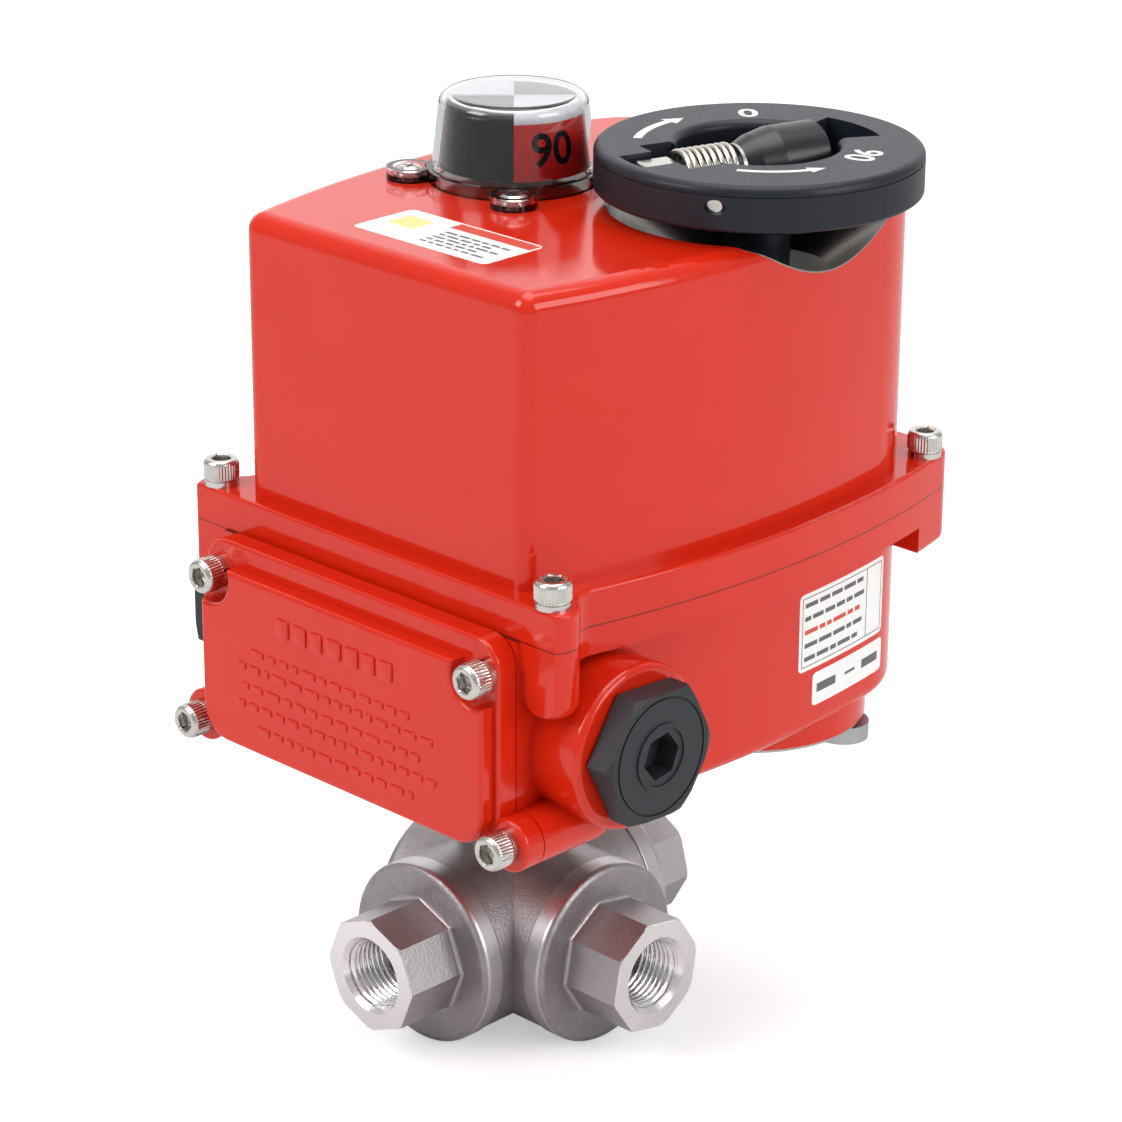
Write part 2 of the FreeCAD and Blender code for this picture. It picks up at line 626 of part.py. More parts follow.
def housing():
    """Cast aluminium gear housing with the wiring compartment and the mounting pad."""
    body = bowed(0, WALL_FRONT, WALL_REAR, FRONT_CORNER, REAR_CORNER, HOUSING_BOTTOM_Z, PARTING_Z)
    body = body.makeFillet(BOTTOM_EDGE, level_edges(body, HOUSING_BOTTOM_Z))
    flange = flange_plate(PARTING_Z - HOUSING_FLANGE, PARTING_Z)
    pad = cyl(PAD_RADIUS, FLOOR_Z - PAD_Z, (0, 0, PAD_Z))
    boss = cyl(BOSS_RADIUS, FLOOR_Z - BOSS_Z, (*BOSS_AT, BOSS_Z))
    conduits = [conduit_boss(side) for side in (-1, 1)]
    shape = union(body, flange, terminal_box(), pad, boss, *conduits,
                  *front_lugs(FRONT_LUG_Z, PARTING_Z), *rear_lugs(REAR_LUG_Z, PARTING_Z))
    shape = shape.cut(housing_rooms())
    inside = [cyl(POST_RADIUS, GEAR_PLATE_Z - FLOOR_Z + 0.5, (x, y, FLOOR_Z - 0.5)) for x, y in POST_PLACES]
    inside.append(cyl(GEAR_HUB, HIGH_GEAR_Z - 2 - FLOOR_Z + 0.5, (*WHEEL_AT, FLOOR_Z - 0.5)))
    inside.append(cyl(GEAR_HUB, LOW_GEAR_Z - FLOOR_Z, (*INTER_AT, FLOOR_Z - 0.5)))
    shape = union(shape, *inside)
    return shape.cut(housing_holes()).removeSplitter()


def housing_rooms():
    """Spaces inside the housing: gear room, wiring room and the conduit bores."""
    inner_rear = WALL_REAR - WALL
    gear_room = bowed(WALL, TERM_ROOM_BACK + PARTITION, inner_rear, ROOM_CORNER, REAR_CORNER - WALL,
                      FLOOR_Z, PARTING_Z + 1)
    wiring = block(BODY_X - TERM_ROOM_HALF, BODY_X + TERM_ROOM_HALF, TERM_FRONT - 1, TERM_ROOM_BACK,
                   TERM_ROOM_LOW, TERM_ROOM_HIGH)
    groove = joint_band(PARTING_Z + 1)
    bores = [
        cyl(CONDUIT_THREAD, CONDUIT_END, (BODY_X, CONDUIT_Y, CONDUIT_Z), RIGHT * side) for side in (-1, 1)
    ]
    wire_at = (BODY_X - TERM_ROOM_HALF / 2, TERM_ROOM_BACK - PARTITION, CONDUIT_Z)
    wire = cyl(WIRE_HOLE, 3 * PARTITION, wire_at, BACK)
    return Part.Compound([gear_room, wiring, groove, wire] + bores)


def conduit_boss(side):
    """Round boss of one conduit entry, from the middle plane outward."""
    boss = cyl(CONDUIT_BOSS, CONDUIT_END, (BODY_X, CONDUIT_Y, CONDUIT_Z), RIGHT * side)
    outer = [e for e in boss.Edges if abs(abs(e.BoundBox.Center.x - BODY_X) - CONDUIT_END) < 0.1]
    return boss.makeFillet(CONDUIT_EDGE, outer)


def joint_band(top):
    """Band of the joint gasket, from the bottom of its groove up to top."""
    low = PARTING_Z - GASKET_DEPTH
    far = GASKET_IN + GASKET_WIDE
    outer = bowed(GASKET_IN, WALL_FRONT + GASKET_IN, WALL_REAR - GASKET_IN, FRONT_CORNER - GASKET_IN,
                  REAR_CORNER - GASKET_IN, low, top)
    inner = bowed(far, WALL_FRONT + far, WALL_REAR - far, FRONT_CORNER - far, REAR_CORNER - far, low, top)
    return outer.cut(inner)


def housing_holes():
    """Screw holes, bush seats and shaft holes in the housing."""
    holes = [cyl(M6, M6_GRIP + 3, (x, y, PARTING_Z - M6_GRIP - 2)) for x, y in COVER_SCREW_PLACES]
    holes += [cyl(M6, M6_GRIP + 3, (x, TERM_FRONT - 1, z), BACK) for x, z in TERM_SCREW_PLACES]
    holes += [cyl(M6, MOUNT_GRIP + 2, (x, y, PAD_Z - 1)) for x, y in BOLT_PLACES]
    holes.append(cyl(OUTPUT_SHAFT + BUSH_WALL, FLOOR_Z - PAD_Z + 2, (0, 0, PAD_Z - 1)))
    holes.append(cyl(WHEEL_SHAFT + RUN, 30, (*WHEEL_AT, FLOOR_Z + 1)))
    holes.append(cyl(INTER_AXLE, FLOOR + 15, (*INTER_AT, HOUSING_BOTTOM_Z)))
    holes.append(cyl(LEVER_SHAFT + RUN, 30, (*LEVER_AT, BOSS_Z - 1)))
    holes += [cyl(SMALL_SCREW, 14, (x, y, GEAR_PLATE_Z - 12)) for x, y in POST_PLACES]
    return Part.Compound(holes)


def dish_profile(grow):
    """Half section of the dish; grow moves it down and out for the skin under it."""
    slope = (COVER_TOP_Z - DISH_FLOOR_Z) / (DISH_RIM - DISH_FLOOR)
    top = COVER_TOP_Z + 12
    reach = DISH_RIM + (top - COVER_TOP_Z) / slope
    low = DISH_FLOOR_Z - grow
    return [(0, low), (DISH_FLOOR + grow * 0.4, low), (reach + grow * 1.3, top), (0, top)]


def cover():
    """Cast aluminium cover with the dish under the hand wheel and two shaft bosses."""
    body = bowed(0, WALL_FRONT, WALL_REAR, FRONT_CORNER, REAR_CORNER, PARTING_Z, COVER_TOP_Z)
    dish = turned(dish_profile(0), (*WHEEL_AT, 0))
    cut = body.cut(dish)
    outline = [e for e in level_edges(cut, COVER_TOP_Z) if not on_dish_rim(e)]
    body = cut.makeFillet(TOP_EDGE, outline)
    flange = flange_plate(PARTING_Z, PARTING_Z + COVER_FLANGE)
    flange = flange.makeFillet(FLANGE_EDGE, level_edges(flange, PARTING_Z + COVER_FLANGE))
    shape = union(body, flange)
    room = bowed(WALL, WALL_FRONT + WALL, WALL_REAR - WALL, ROOM_CORNER, REAR_CORNER - WALL,
                 PARTING_Z - 1, COVER_TOP_Z - WALL)
    room = room.cut(turned(dish_profile(WALL), (*WHEEL_AT, 0)))
    shape = shape.cut(room)
    wheel_boss = cyl(SHAFT_BOSS, DISH_FLOOR_Z - SHAFT_BOSS_Z - 1, (*WHEEL_AT, SHAFT_BOSS_Z))
    dial_boss = cyl(SHAFT_BOSS, COVER_TOP_Z - INDICATOR_BOSS_Z - 1, (0, 0, INDICATOR_BOSS_Z))
    shape = union(shape, wheel_boss, dial_boss)
    holes = [cyl(M6_HOLE, 2 * COVER_FLANGE, (x, y, PARTING_Z - 1)) for x, y in COVER_SCREW_PLACES]
    holes.append(cyl(WHEEL_SHAFT + BUSH_WALL, 40, (*WHEEL_AT, SHAFT_BOSS_Z - 1)))
    holes.append(cyl(INDICATOR_SHAFT + BUSH_WALL, 40, (0, 0, INDICATOR_BOSS_Z - 1)))
    holes += [cyl(DOME_SCREW, 8, (x, y, COVER_TOP_Z - 6)) for x, y in DOME_SCREW_PLACES]
    bosses = [cyl(4.0, 6, (x, y, COVER_TOP_Z - 7)) for x, y in DOME_SCREW_PLACES]
    return union(shape, *bosses).cut(Part.Compound(holes)).removeSplitter()


def on_dish_rim(edge):
    """True for the dish's round edge at the cover top."""
    middle = edge.valueAt((edge.FirstParameter + edge.LastParameter) / 2)
    return abs(math.hypot(middle.x - WHEEL_AT[0], middle.y - WHEEL_AT[1]) - DISH_RIM) < 0.5


def cover_gasket():
    return joint_band(PARTING_Z)


def cover_fasteners():
    """Four M6 screws and their spring washers in the joint flange."""
    seat = PARTING_Z + COVER_FLANGE
    screws = [socket_screw((x, y, seat + WASHER_THICK), UP, COVER_FLANGE + WASHER_THICK + M6_GRIP)
              for x, y in COVER_SCREW_PLACES]
    washers = [spring_washer((x, y, seat), UP, 40 + 75 * k) for k, (x, y) in enumerate(COVER_SCREW_PLACES)]
    return screws, washers


# ---- Terminal compartment ----


def rounded_plate(half, low, high, low_corner, high_corner, y0, y1):
    """Upright plate in the XZ plane, centred on the middle plane, with rounded corners."""
    shape = block(BODY_X - half, BODY_X + half, y0, y1, low, high)
    for z, radius in ((low, low_corner), (high, high_corner)):
        if radius:
            ends = [e for e in shape.Edges if e.BoundBox.YLength > (y1 - y0) * 0.9
                    and abs(e.BoundBox.ZMin - z) < 0.01 and e.BoundBox.XLength < 0.01]
            shape = shape.makeFillet(radius, ends)
    return shape


def gasket_frame(y0, y1):
    bands = []
    for out in (GASKET_ROOM + GASKET_BAND, GASKET_ROOM):
        bands.append(rounded_plate(TERM_ROOM_HALF + out, TERM_ROOM_LOW - out, TERM_ROOM_HIGH + out,
                                   out + 1, out + 1, y0, y1))
    return bands[0].cut(bands[1])


def terminal_cover():
    """Cast cover plate with a raised panel, on four M6 screws."""
    front = TERM_FRONT - TERM_PLATE
    base = rounded_plate(TERM_HALF, HOUSING_BOTTOM_Z, TERM_PLATE_TOP, 0, TERM_PLATE_CORNER, front, TERM_FRONT)
    for side in (-1, 1):
        ear_at = (BODY_X + side * TERM_LOW_SCREW_X, front, TERM_LOW_SCREW_Z)
        base = base.fuse(cyl(EAR_RADIUS, TERM_PLATE, ear_at, BACK))
    base = base.removeSplitter()
    faces = [e for e in base.Edges if e.BoundBox.YMax < front + 0.01]
    base = base.makeFillet(TERM_PLATE_EDGE, faces)
    backs = [e for e in base.Edges if e.BoundBox.YMin > TERM_FRONT - 0.01]
    base = base.makeChamfer(COVER_BACK_EDGE, backs)
    panel = rounded_plate(PANEL_HALF, PANEL_LOW, PANEL_HIGH, PANEL_CORNER, 0, front - TERM_PANEL, front + 1)
    for side in (-1, 1):
        notch_at = (BODY_X + side * TERM_TOP_SCREW_X, front - TERM_PANEL - 1, TERM_TOP_SCREW_Z)
        panel = panel.cut(cyl(EAR_RADIUS + NOTCH_GAP, TERM_PANEL + 3, notch_at, BACK))
    corner = PANEL_HALF - TERM_TOP_SCREW_X
    for side in (-1, 1):
        inner, outer = sorted((BODY_X + side * TERM_TOP_SCREW_X, BODY_X + side * (PANEL_HALF + 2)))
        panel = panel.cut(block(inner, outer, front - TERM_PANEL - 1, front + 2, TERM_TOP_SCREW_Z - corner,
                                PANEL_HIGH + 1))
    panel = panel.removeSplitter()
    rim = [e for e in panel.Edges if e.BoundBox.YMax < front - TERM_PANEL + 0.01]
    panel = panel.makeFillet(PANEL_EDGE, rim)
    plate = union(base, panel)
    holes = [cyl(M6_HOLE, 30, (x, front - 8, z), BACK) for x, z in TERM_SCREW_PLACES]
    spots = [cyl(M6_HEAD + NOTCH_GAP, 12, (x, front - 12, z), BACK) for x, z in TERM_SCREW_PLACES]
    plate = plate.cut(Part.Compound(holes)).cut(Part.Compound(spots))
    return plate.cut(gasket_frame(TERM_FRONT - GASKET_DEPTH, TERM_FRONT + 1))


def terminal_fasteners():
    seat = TERM_FRONT - TERM_PLATE
    screws = [socket_screw((x, seat - WASHER_THICK, z), -BACK, TERM_PLATE + WASHER_THICK + M6_GRIP)
              for x, z in TERM_SCREW_PLACES]
    washers = [spring_washer((x, seat, z), -BACK, 20 + 65 * k) for k, (x, z) in enumerate(TERM_SCREW_PLACES)]
    return screws, washers


def terminal_block():
    """Moulded terminal strip on the back of the wiring room."""
    front = TERM_ROOM_BACK - TERM_BLOCK_DEEP
    base = block(BODY_X - TERM_BLOCK_HALF, BODY_X + TERM_BLOCK_HALF, front, TERM_ROOM_BACK,
                 TERM_ROOM_LOW, TERM_ROOM_LOW + TERM_BLOCK_HIGH)
    pitch = 2 * TERM_BLOCK_HALF / TERM_WAYS
    slots = []
    for k in range(TERM_WAYS):
        x = BODY_X - TERM_BLOCK_HALF + pitch * (k + 0.5)
        slots.append(cyl(TERM_SCREW, 4, (x, front - 0.5, TERM_ROOM_LOW + 10), BACK))
        slots.append(block(x - TERM_WIRE, x + TERM_WIRE, front - 1, front + 6,
                           TERM_ROOM_LOW - 1, TERM_ROOM_LOW + 4))
    return base.cut(Part.Compound(slots))


def conduit_plug(side, turn):
    """Moulded hexagon blanking plug in one conduit entry."""
    seat = BODY_X + side * (CONDUIT_END + PLUG_GASKET)
    flat = PLUG_FLATS / 2
    outer = flat + PLUG_CROWN
    crown = turned([(0, 0), (outer, 0), (outer, PLUG_THICK - PLUG_BEVEL), (flat + PLUG_BEVEL / 2, PLUG_THICK),
                    (0, PLUG_THICK)])
    head = prism(6, PLUG_FLATS, PLUG_THICK, (0, 0, 0), UP, turn).common(crown)
    low = (0, 0, PLUG_THICK - PLUG_LINE)
    head = head.cut(ring(PLUG_GROOVE + PLUG_GROOVE_WIDE / 2, PLUG_GROOVE - PLUG_GROOVE_WIDE / 2, 1, low))
    raised = ring(PLUG_RING + PLUG_RING_WIDE / 2, PLUG_RING - PLUG_RING_WIDE / 2, 2 * PLUG_LINE, low)
    shank = cyl(CONDUIT_THREAD, PLUG_SHANK + PLUG_GASKET, (0, 0, -PLUG_SHANK - PLUG_GASKET))
    key = prism(6, PLUG_KEY, PLUG_KEY_DEEP + 1, (0, 0, PLUG_THICK - PLUG_KEY_DEEP), UP, turn + 12)
    plug = union(head, raised, shank).cut(key)
    plug.Placement = FreeCAD.Placement(V(seat, CONDUIT_Y, CONDUIT_Z), FreeCAD.Rotation(UP, RIGHT * side))
    return plug


def conduit_gasket(side):
    at = (BODY_X + side * CONDUIT_END, CONDUIT_Y, CONDUIT_Z)
    return ring(PLUG_FLATS / 2 - 0.5, CONDUIT_THREAD, PLUG_GASKET, at, RIGHT * side)


# ---- Gear room ----


def gear_plate():
    """Steel plate that closes the gear room and carries the motor and switches."""
    gap = WALL + PLATE_GAP
    plate = bowed(gap, TERM_ROOM_BACK + PARTITION + PLATE_GAP, WALL_REAR - gap, ROOM_CORNER,
                  REAR_CORNER - gap, GEAR_PLATE_Z, PLATE_TOP_Z)
    low = GEAR_PLATE_Z - 1
    high = GEAR_PLATE_THICK + 2
    holes = [cyl(SMALL_SCREW, high, (x, y, low)) for x, y in POST_PLACES + motor_screw_places()]
    holes.append(cyl(INDICATOR_SHAFT + BUSH_WALL, high, (0, 0, low)))
    holes.append(cyl(INTER_AXLE, high, (*INTER_AT, low)))
    holes.append(cyl(WHEEL_SHAFT + SHAFT_CLEAR, high, (*WHEEL_AT, low)))
    holes.append(cyl(MOTOR_SHAFT + SHAFT_CLEAR, high, (*MOTOR_AT, low)))
    return plate.cut(Part.Compound(holes))


def pan_screw(x, y, z, shank):
    """Small pan-head screw with a slot, head up."""
    head = turned([(0, 0), (SMALL_HEAD, 0), (SMALL_HEAD, SMALL_HEAD_HIGH - 0.8),
                   (SMALL_HEAD - 0.8, SMALL_HEAD_HIGH), (0, SMALL_HEAD_HIGH)], (x, y, z))
    top = z + SMALL_HEAD_HIGH
    slot = block(x - SMALL_HEAD, x + SMALL_HEAD, y - 0.3, y + 0.3, top - 1, top + 1)
    return union(head.cut(slot), cyl(SMALL_SCREW, shank, (x, y, z - shank)))


def gear_plate_screws():
    return [pan_screw(x, y, PLATE_TOP_Z, GEAR_PLATE_THICK + 11) for x, y in POST_PLACES]


def shaft_bushes():
    """Bronze bushes of the output shaft, the indicator shaft and the hand-wheel shaft."""
    bushes = []
    for radius, long, at in ((OUTPUT_SHAFT, FLOOR_Z - PAD_Z, (0, 0, PAD_Z)),
                             (INDICATOR_SHAFT, GEAR_PLATE_THICK, (0, 0, GEAR_PLATE_Z)),
                             (INDICATOR_SHAFT, INDICATOR_BOSS_LONG, (0, 0, INDICATOR_BOSS_Z)),
                             (WHEEL_SHAFT, SHAFT_BOSS_LONG, (*WHEEL_AT, SHAFT_BOSS_Z))):
        bushes.append(ring(radius + BUSH_WALL, radius + RUN, long, at))
    return bushes


def output_shaft():
    """Output shaft with the square socket for the valve stem and a bore for the indicator shaft."""
    gear_top = LOW_GEAR_Z + LOW_GEAR_THICK
    foot = PAD_Z + SHAFT_END_GAP
    collar = FLOOR_Z + SHAFT_END_GAP
    shaft = turned([
        (0, foot), (OUTPUT_SHAFT, foot), (OUTPUT_SHAFT, collar), (OUTPUT_COLLAR, collar),
        (OUTPUT_COLLAR, LOW_GEAR_Z), (GEAR_SEAT, LOW_GEAR_Z), (GEAR_SEAT, gear_top), (OUTPUT_NECK, gear_top),
        (OUTPUT_NECK, NECK_TOP_Z), (0, NECK_TOP_Z)])
    half = SQUARE_DRIVE / 2
    socket = block(-half, half, -half, half, PAD_Z - 1, SQUARE_TOP_Z)
    low_end = cyl(STEM + SHAFT_END_GAP, STEM_TOP_Z - PAD_Z + 1, (0, 0, PAD_Z - 1))
    shank = cyl(INDICATOR_SHAFT, INDICATOR_SEAT + 1, (0, 0, NECK_TOP_Z - INDICATOR_SEAT))
    return shaft.cut(Part.Compound([socket, low_end, shank]))


def output_gear():
    gear = gear_blank(OUTPUT_TEETH, LOW_GEAR_THICK, (0, 0), LOW_GEAR_Z, INTER_ANGLE)
    return gear.cut(cyl(GEAR_SEAT, 30, (0, 0, LOW_GEAR_Z - 5)))


def small_phase():
    return mesh_phase(OUTPUT_TEETH, INTER_ANGLE, SMALL_TEETH, INTER_ANGLE)


def intermediate_gear():
    """Compound gear: pinion below, wheel above, turning on a fixed axle."""
    low = gear_blank(SMALL_TEETH, HIGH_GEAR_Z - LOW_GEAR_Z, INTER_AT, LOW_GEAR_Z, small_phase())
    high = gear_blank(LARGE_TEETH, HIGH_GEAR_THICK, INTER_AT, HIGH_GEAR_Z, small_phase())
    hub = cyl(HUB, 2.0, (*INTER_AT, HIGH_GEAR_Z + HIGH_GEAR_THICK))
    step = 360.0 / LIGHTENING_COUNT
    lightening = [
        cyl(LIGHTENING, 30, (*polar(INTER_AT, LIGHTENING_AT, step * k), HIGH_GEAR_Z - 5))
        for k in range(LIGHTENING_COUNT)
    ]
    gear = low.fuse([high, hub])
    return gear.cut(cyl(INTER_AXLE + RUN, 60, (*INTER_AT, LOW_GEAR_Z - 5))).cut(Part.Compound(lightening))


def intermediate_axle():
    return cyl(INTER_AXLE, PLATE_TOP_Z - HOUSING_BOTTOM_Z, (*INTER_AT, HOUSING_BOTTOM_Z))


def pinion_phase(direction):
    return mesh_phase(LARGE_TEETH, small_phase(), PINION_TEETH, direction)


def motor_screw_places():
    radius = (GEARHEAD + GEARHEAD_FLANGE) / 2
    return [polar(GEARHEAD_AT, radius, 100 + 120 * k) for k in range(3)]


def motor_gearhead():
    """Sealed gearhead of the motor, standing on the gear plate."""
    flange = cyl(GEARHEAD_FLANGE, GEARHEAD_FLANGE_THICK, (*GEARHEAD_AT, PLATE_TOP_Z))
    drum = cyl(GEARHEAD - 1, MOTOR_FOOT_Z - PLATE_TOP_Z, (*GEARHEAD_AT, PLATE_TOP_Z))
    head = union(flange, drum)
    seat = PLATE_TOP_Z + GEARHEAD_FLANGE_THICK
    room = SMALL_HEAD + SHAFT_END_GAP
    holes = []
    for x, y in motor_screw_places():
        holes.append(cyl(SMALL_SCREW, GEARHEAD_FLANGE_THICK + 2, (x, y, PLATE_TOP_Z - 1)))
        holes.append(cyl(room, MOTOR_FOOT_Z - seat + 1, (x, y, seat)))
    holes.append(cyl(MOTOR_SHAFT + RUN, MOTOR_SHAFT_IN + 2, (*MOTOR_AT, PLATE_TOP_Z - 1)))
    for hole in holes:
        head = head.cut(hole)
    return head


def motor_can():
    can = cyl(MOTOR, MOTOR_HIGH, (*CAN_AT, MOTOR_FOOT_Z))
    can = can.makeFillet(MOTOR_EDGE, level_edges(can, MOTOR_FOOT_Z + MOTOR_HIGH))
    for z in MOTOR_LINES:
        can = can.cut(ring(MOTOR + 1, MOTOR - MOTOR_GROOVE, 1.5 * MOTOR_GROOVE, (*CAN_AT, MOTOR_FOOT_Z + z)))
    return can


def motor_screws():
    seat = PLATE_TOP_Z + GEARHEAD_FLANGE_THICK
    return [pan_screw(x, y, seat, GEARHEAD_FLANGE_THICK + GEAR_PLATE_THICK) for x, y in motor_screw_places()]


def motor_shaft():
    low = HIGH_GEAR_Z - 1
    return cyl(MOTOR_SHAFT, PLATE_TOP_Z + MOTOR_SHAFT_IN - low, (*MOTOR_AT, low))


def pinion(at, direction, bore):
    gear = gear_blank(PINION_TEETH, HIGH_GEAR_THICK + 1, at, HIGH_GEAR_Z, pinion_phase(direction))
    return gear.cut(cyl(bore, 30, (*at, HIGH_GEAR_Z - 5)))


def capacitor():
    foot = PARTING_Z + CLIP_FOOT
    body = cyl(CAPACITOR, CAPACITOR_HIGH, (*CAPACITOR_AT, foot))
    body = body.makeFillet(1.5, level_edges(body, foot + CAPACITOR_HIGH))
    pins = [cyl(1.0, 8, (CAPACITOR_AT[0] + dx, CAPACITOR_AT[1], foot + CAPACITOR_HIGH - 2)) for dx in (-4, 4)]
    return union(body, *pins)


def capacitor_clip():
    """Sheet-metal cup that holds the capacitor on the housing."""
    foot = cyl(CAPACITOR + CLIP, CLIP_FOOT, (*CAPACITOR_AT, PARTING_Z))
    band = ring(CAPACITOR + CLIP, CAPACITOR, CLIP_HIGH, (*CAPACITOR_AT, PARTING_Z + CLIP_FOOT))
    return union(foot, band)


def switch_bracket():
    """Bent steel bracket on the gear plate for the limit switches."""
    y = CAM_LOBE + SWITCH_GAP + PLUNGER + SWITCH_DEEP
    foot = block(-BRACKET_HALF, BRACKET_HALF, y, y + BRACKET_FOOT, PLATE_TOP_Z, PLATE_TOP_Z + BRACKET_THICK)
    upright = block(-BRACKET_HALF, BRACKET_HALF, y, y + BRACKET_THICK, PLATE_TOP_Z, CAM_LEVELS[1] + 12)
    return union(foot, upright)


def limit_switches():
    """One snap switch beside each cam, with its plunger towards the cam."""
    front = CAM_LOBE + SWITCH_GAP + PLUNGER
    switches = []
    for z in CAM_LEVELS:
        body = block(-SWITCH_HALF, SWITCH_HALF, front, front + SWITCH_DEEP, z - 0.5, z + CAM_THICK + 0.5)
        plunger = cyl(1.2, PLUNGER + 0.5, (0, front - PLUNGER, z + CAM_THICK / 2), BACK)
        switches.append(union(body, plunger))
    return switches


def switch_cams():
    """Two cams clamped on the indicator shaft."""
    cams = []
    for k, z in enumerate(CAM_LEVELS):
        disc = cyl(CAM, CAM_THICK, (0, 0, z))
        lobe = Part.makeCylinder(CAM_LOBE, CAM_THICK, V(0, 0, z), UP, 60)
        lobe.rotate(V(0, 0, 0), UP, 200 + 100 * k)
        cams.append(union(disc, lobe).cut(cyl(INDICATOR_SHAFT, 20, (0, 0, z - 5))))
    return cams


def heater():
    """Anti-condensation heater with cooling fins, on the gear plate."""
    x0, y0 = HEATER_AT
    body = block(x0, x0 + HEATER_WIDE, y0, y0 + HEATER_LONG, PLATE_TOP_Z, PLATE_TOP_Z + HEATER_HIGH)
    pitch = HEATER_LONG / HEATER_SLOTS
    slots = [block(x0 - 1, x0 + HEATER_WIDE + 1, y0 + pitch * (k + 0.5) - 0.8, y0 + pitch * (k + 0.5) + 0.8,
                   PLATE_TOP_Z + HEATER_HIGH / 2, PLATE_TOP_Z + HEATER_HIGH + 1) for k in range(HEATER_SLOTS)]
    return body.cut(Part.Compound(slots))


# ---- Position indicator ----


def indicator_shaft():
    low = NECK_TOP_Z - INDICATOR_SEAT
    return cyl(INDICATOR_SHAFT, DRUM_TOP_Z - DRUM_WALL - low, (0, 0, low))


def drum_outline(inset):
    """Tapered outline of the drum with its rounded top edge, moved in by inset."""
    top = DRUM_TOP_Z - inset
    shape = turned([(0, DRUM_LOW_Z), (DRUM_FOOT - inset, DRUM_LOW_Z), (DRUM_CROWN - inset, top), (0, top)])
    return shape.makeFillet(DRUM_EDGE - inset, level_edges(shape, top))


def drum_sector(start):
    """Quarter of the drum's outer skin, on its side and its top, outside the middle boss."""
    high = DRUM_TOP_Z - DRUM_LOW_Z
    quarter = Part.makeCylinder(DRUM_FOOT + 1, high, V(0, 0, DRUM_LOW_Z), UP, 90)
    quarter.rotate(V(0, 0, 0), UP, start)
    skin = drum_outline(0).cut(drum_outline(SECTOR_THICK)).common(quarter)
    return skin.cut(cyl(DRUM_CENTRE, high, (0, 0, DRUM_LOW_Z)))


def indicator_drum():
    """Moulded black drum on the indicator shaft, with two seats for the red sectors."""
    drum = drum_outline(0).cut(drum_outline(DRUM_WALL))
    hub_low = DRUM_LOW_Z + 3
    hub = cyl(DRUM_HUB, DRUM_TOP_Z - DRUM_WALL / 2 - hub_low, (0, 0, hub_low))
    drum = union(drum, hub).cut(cyl(INDICATOR_SHAFT, DRUM_TOP_Z - DRUM_WALL - DRUM_LOW_Z, (0, 0, DRUM_LOW_Z)))
    return drum.cut(Part.Compound([drum_sector(-45), drum_sector(135)]))


def dome_shell(inset, foot_z, top):
    """Outline of the window's upper part, moved in by inset."""
    flange_top = COVER_TOP_Z + DOME_FLANGE_THICK
    shape = turned([(0, foot_z), (DOME_FOOT - inset, foot_z), (DOME_FOOT - inset, flange_top),
                    (DOME_CROWN - inset, top), (0, top)])
    return shape.makeFillet(DOME_EDGE - inset, level_edges(shape, top))


def indicator_dome():
    """Clear moulded window with a flange and four screw ears."""
    pieces = [cyl(DOME_FLANGE, DOME_FLANGE_THICK, (0, 0, COVER_TOP_Z))]
    pieces += [cyl(DOME_EAR, DOME_FLANGE_THICK, (x, y, COVER_TOP_Z)) for x, y in DOME_SCREW_PLACES]
    shape = union(dome_shell(0, COVER_TOP_Z, DOME_TOP_Z), *pieces)
    for x, y in DOME_SCREW_PLACES:
        shape = shape.cut(cyl(DOME_SCREW + DOME_SCREW_GAP, 10, (x, y, COVER_TOP_Z - 1)))
        seat = cyl(DOME_WASHER + DOME_SCREW_GAP, DOME_FLANGE_THICK, (x, y, COVER_TOP_Z + DOME_EAR_SEAT))
        shape = shape.cut(seat)
    return shape.cut(dome_shell(DOME_WALL, COVER_TOP_Z - 1, DOME_TOP_Z - DOME_WALL))


def dome_fasteners():
    """Cross-head screws and washers, sunk in the ears."""
    screws = []
    washers = []
    seat = COVER_TOP_Z + DOME_EAR_SEAT
    under_head = seat + DOME_WASHER_THICK
    for k, (x, y) in enumerate(DOME_SCREW_PLACES):
        washers.append(ring(DOME_WASHER, DOME_SCREW, DOME_WASHER_THICK, (x, y, seat)))
        head = turned([(0, 0), (DOME_SCREW_HEAD, 0), (DOME_SCREW_HEAD, DOME_HEAD_HIGH - 1),
                       (DOME_SCREW_HEAD - 1.3, DOME_HEAD_HIGH), (0, DOME_HEAD_HIGH)], (x, y, under_head))
        cross = union(block(-2.0, 2.0, -0.35, 0.35, 0, 2), block(-0.35, 0.35, -2.0, 2.0, 0, 2))
        turn = FreeCAD.Rotation(UP, 20 + 35 * k)
        cross.Placement = FreeCAD.Placement(V(x, y, under_head + DOME_HEAD_HIGH - 1), turn)
        shank = cyl(DOME_SCREW, DOME_SCREW_LONG, (x, y, under_head - DOME_SCREW_LONG))
        screws.append(union(head.cut(cross), shank))
    return screws, washers


# ---- Hand wheel ----


def crank_frame(shape):
    """Place a shape drawn with the crank along +X and its pivot at the origin."""
    turn = FreeCAD.Rotation(UP, CRANK_ANGLE)
    shape.Placement = FreeCAD.Placement(V(*PIVOT_AT, CRANK_Z), turn)
    return shape


def along(profile):
    """Body of revolution on the crank line from (distance, radius) points."""
    solid = turned([(r, d) for d, r in profile])
    solid.rotate(V(0, 0, 0), BACK, 90)
    return crank_frame(Part.Compound([solid])).Solids[0]


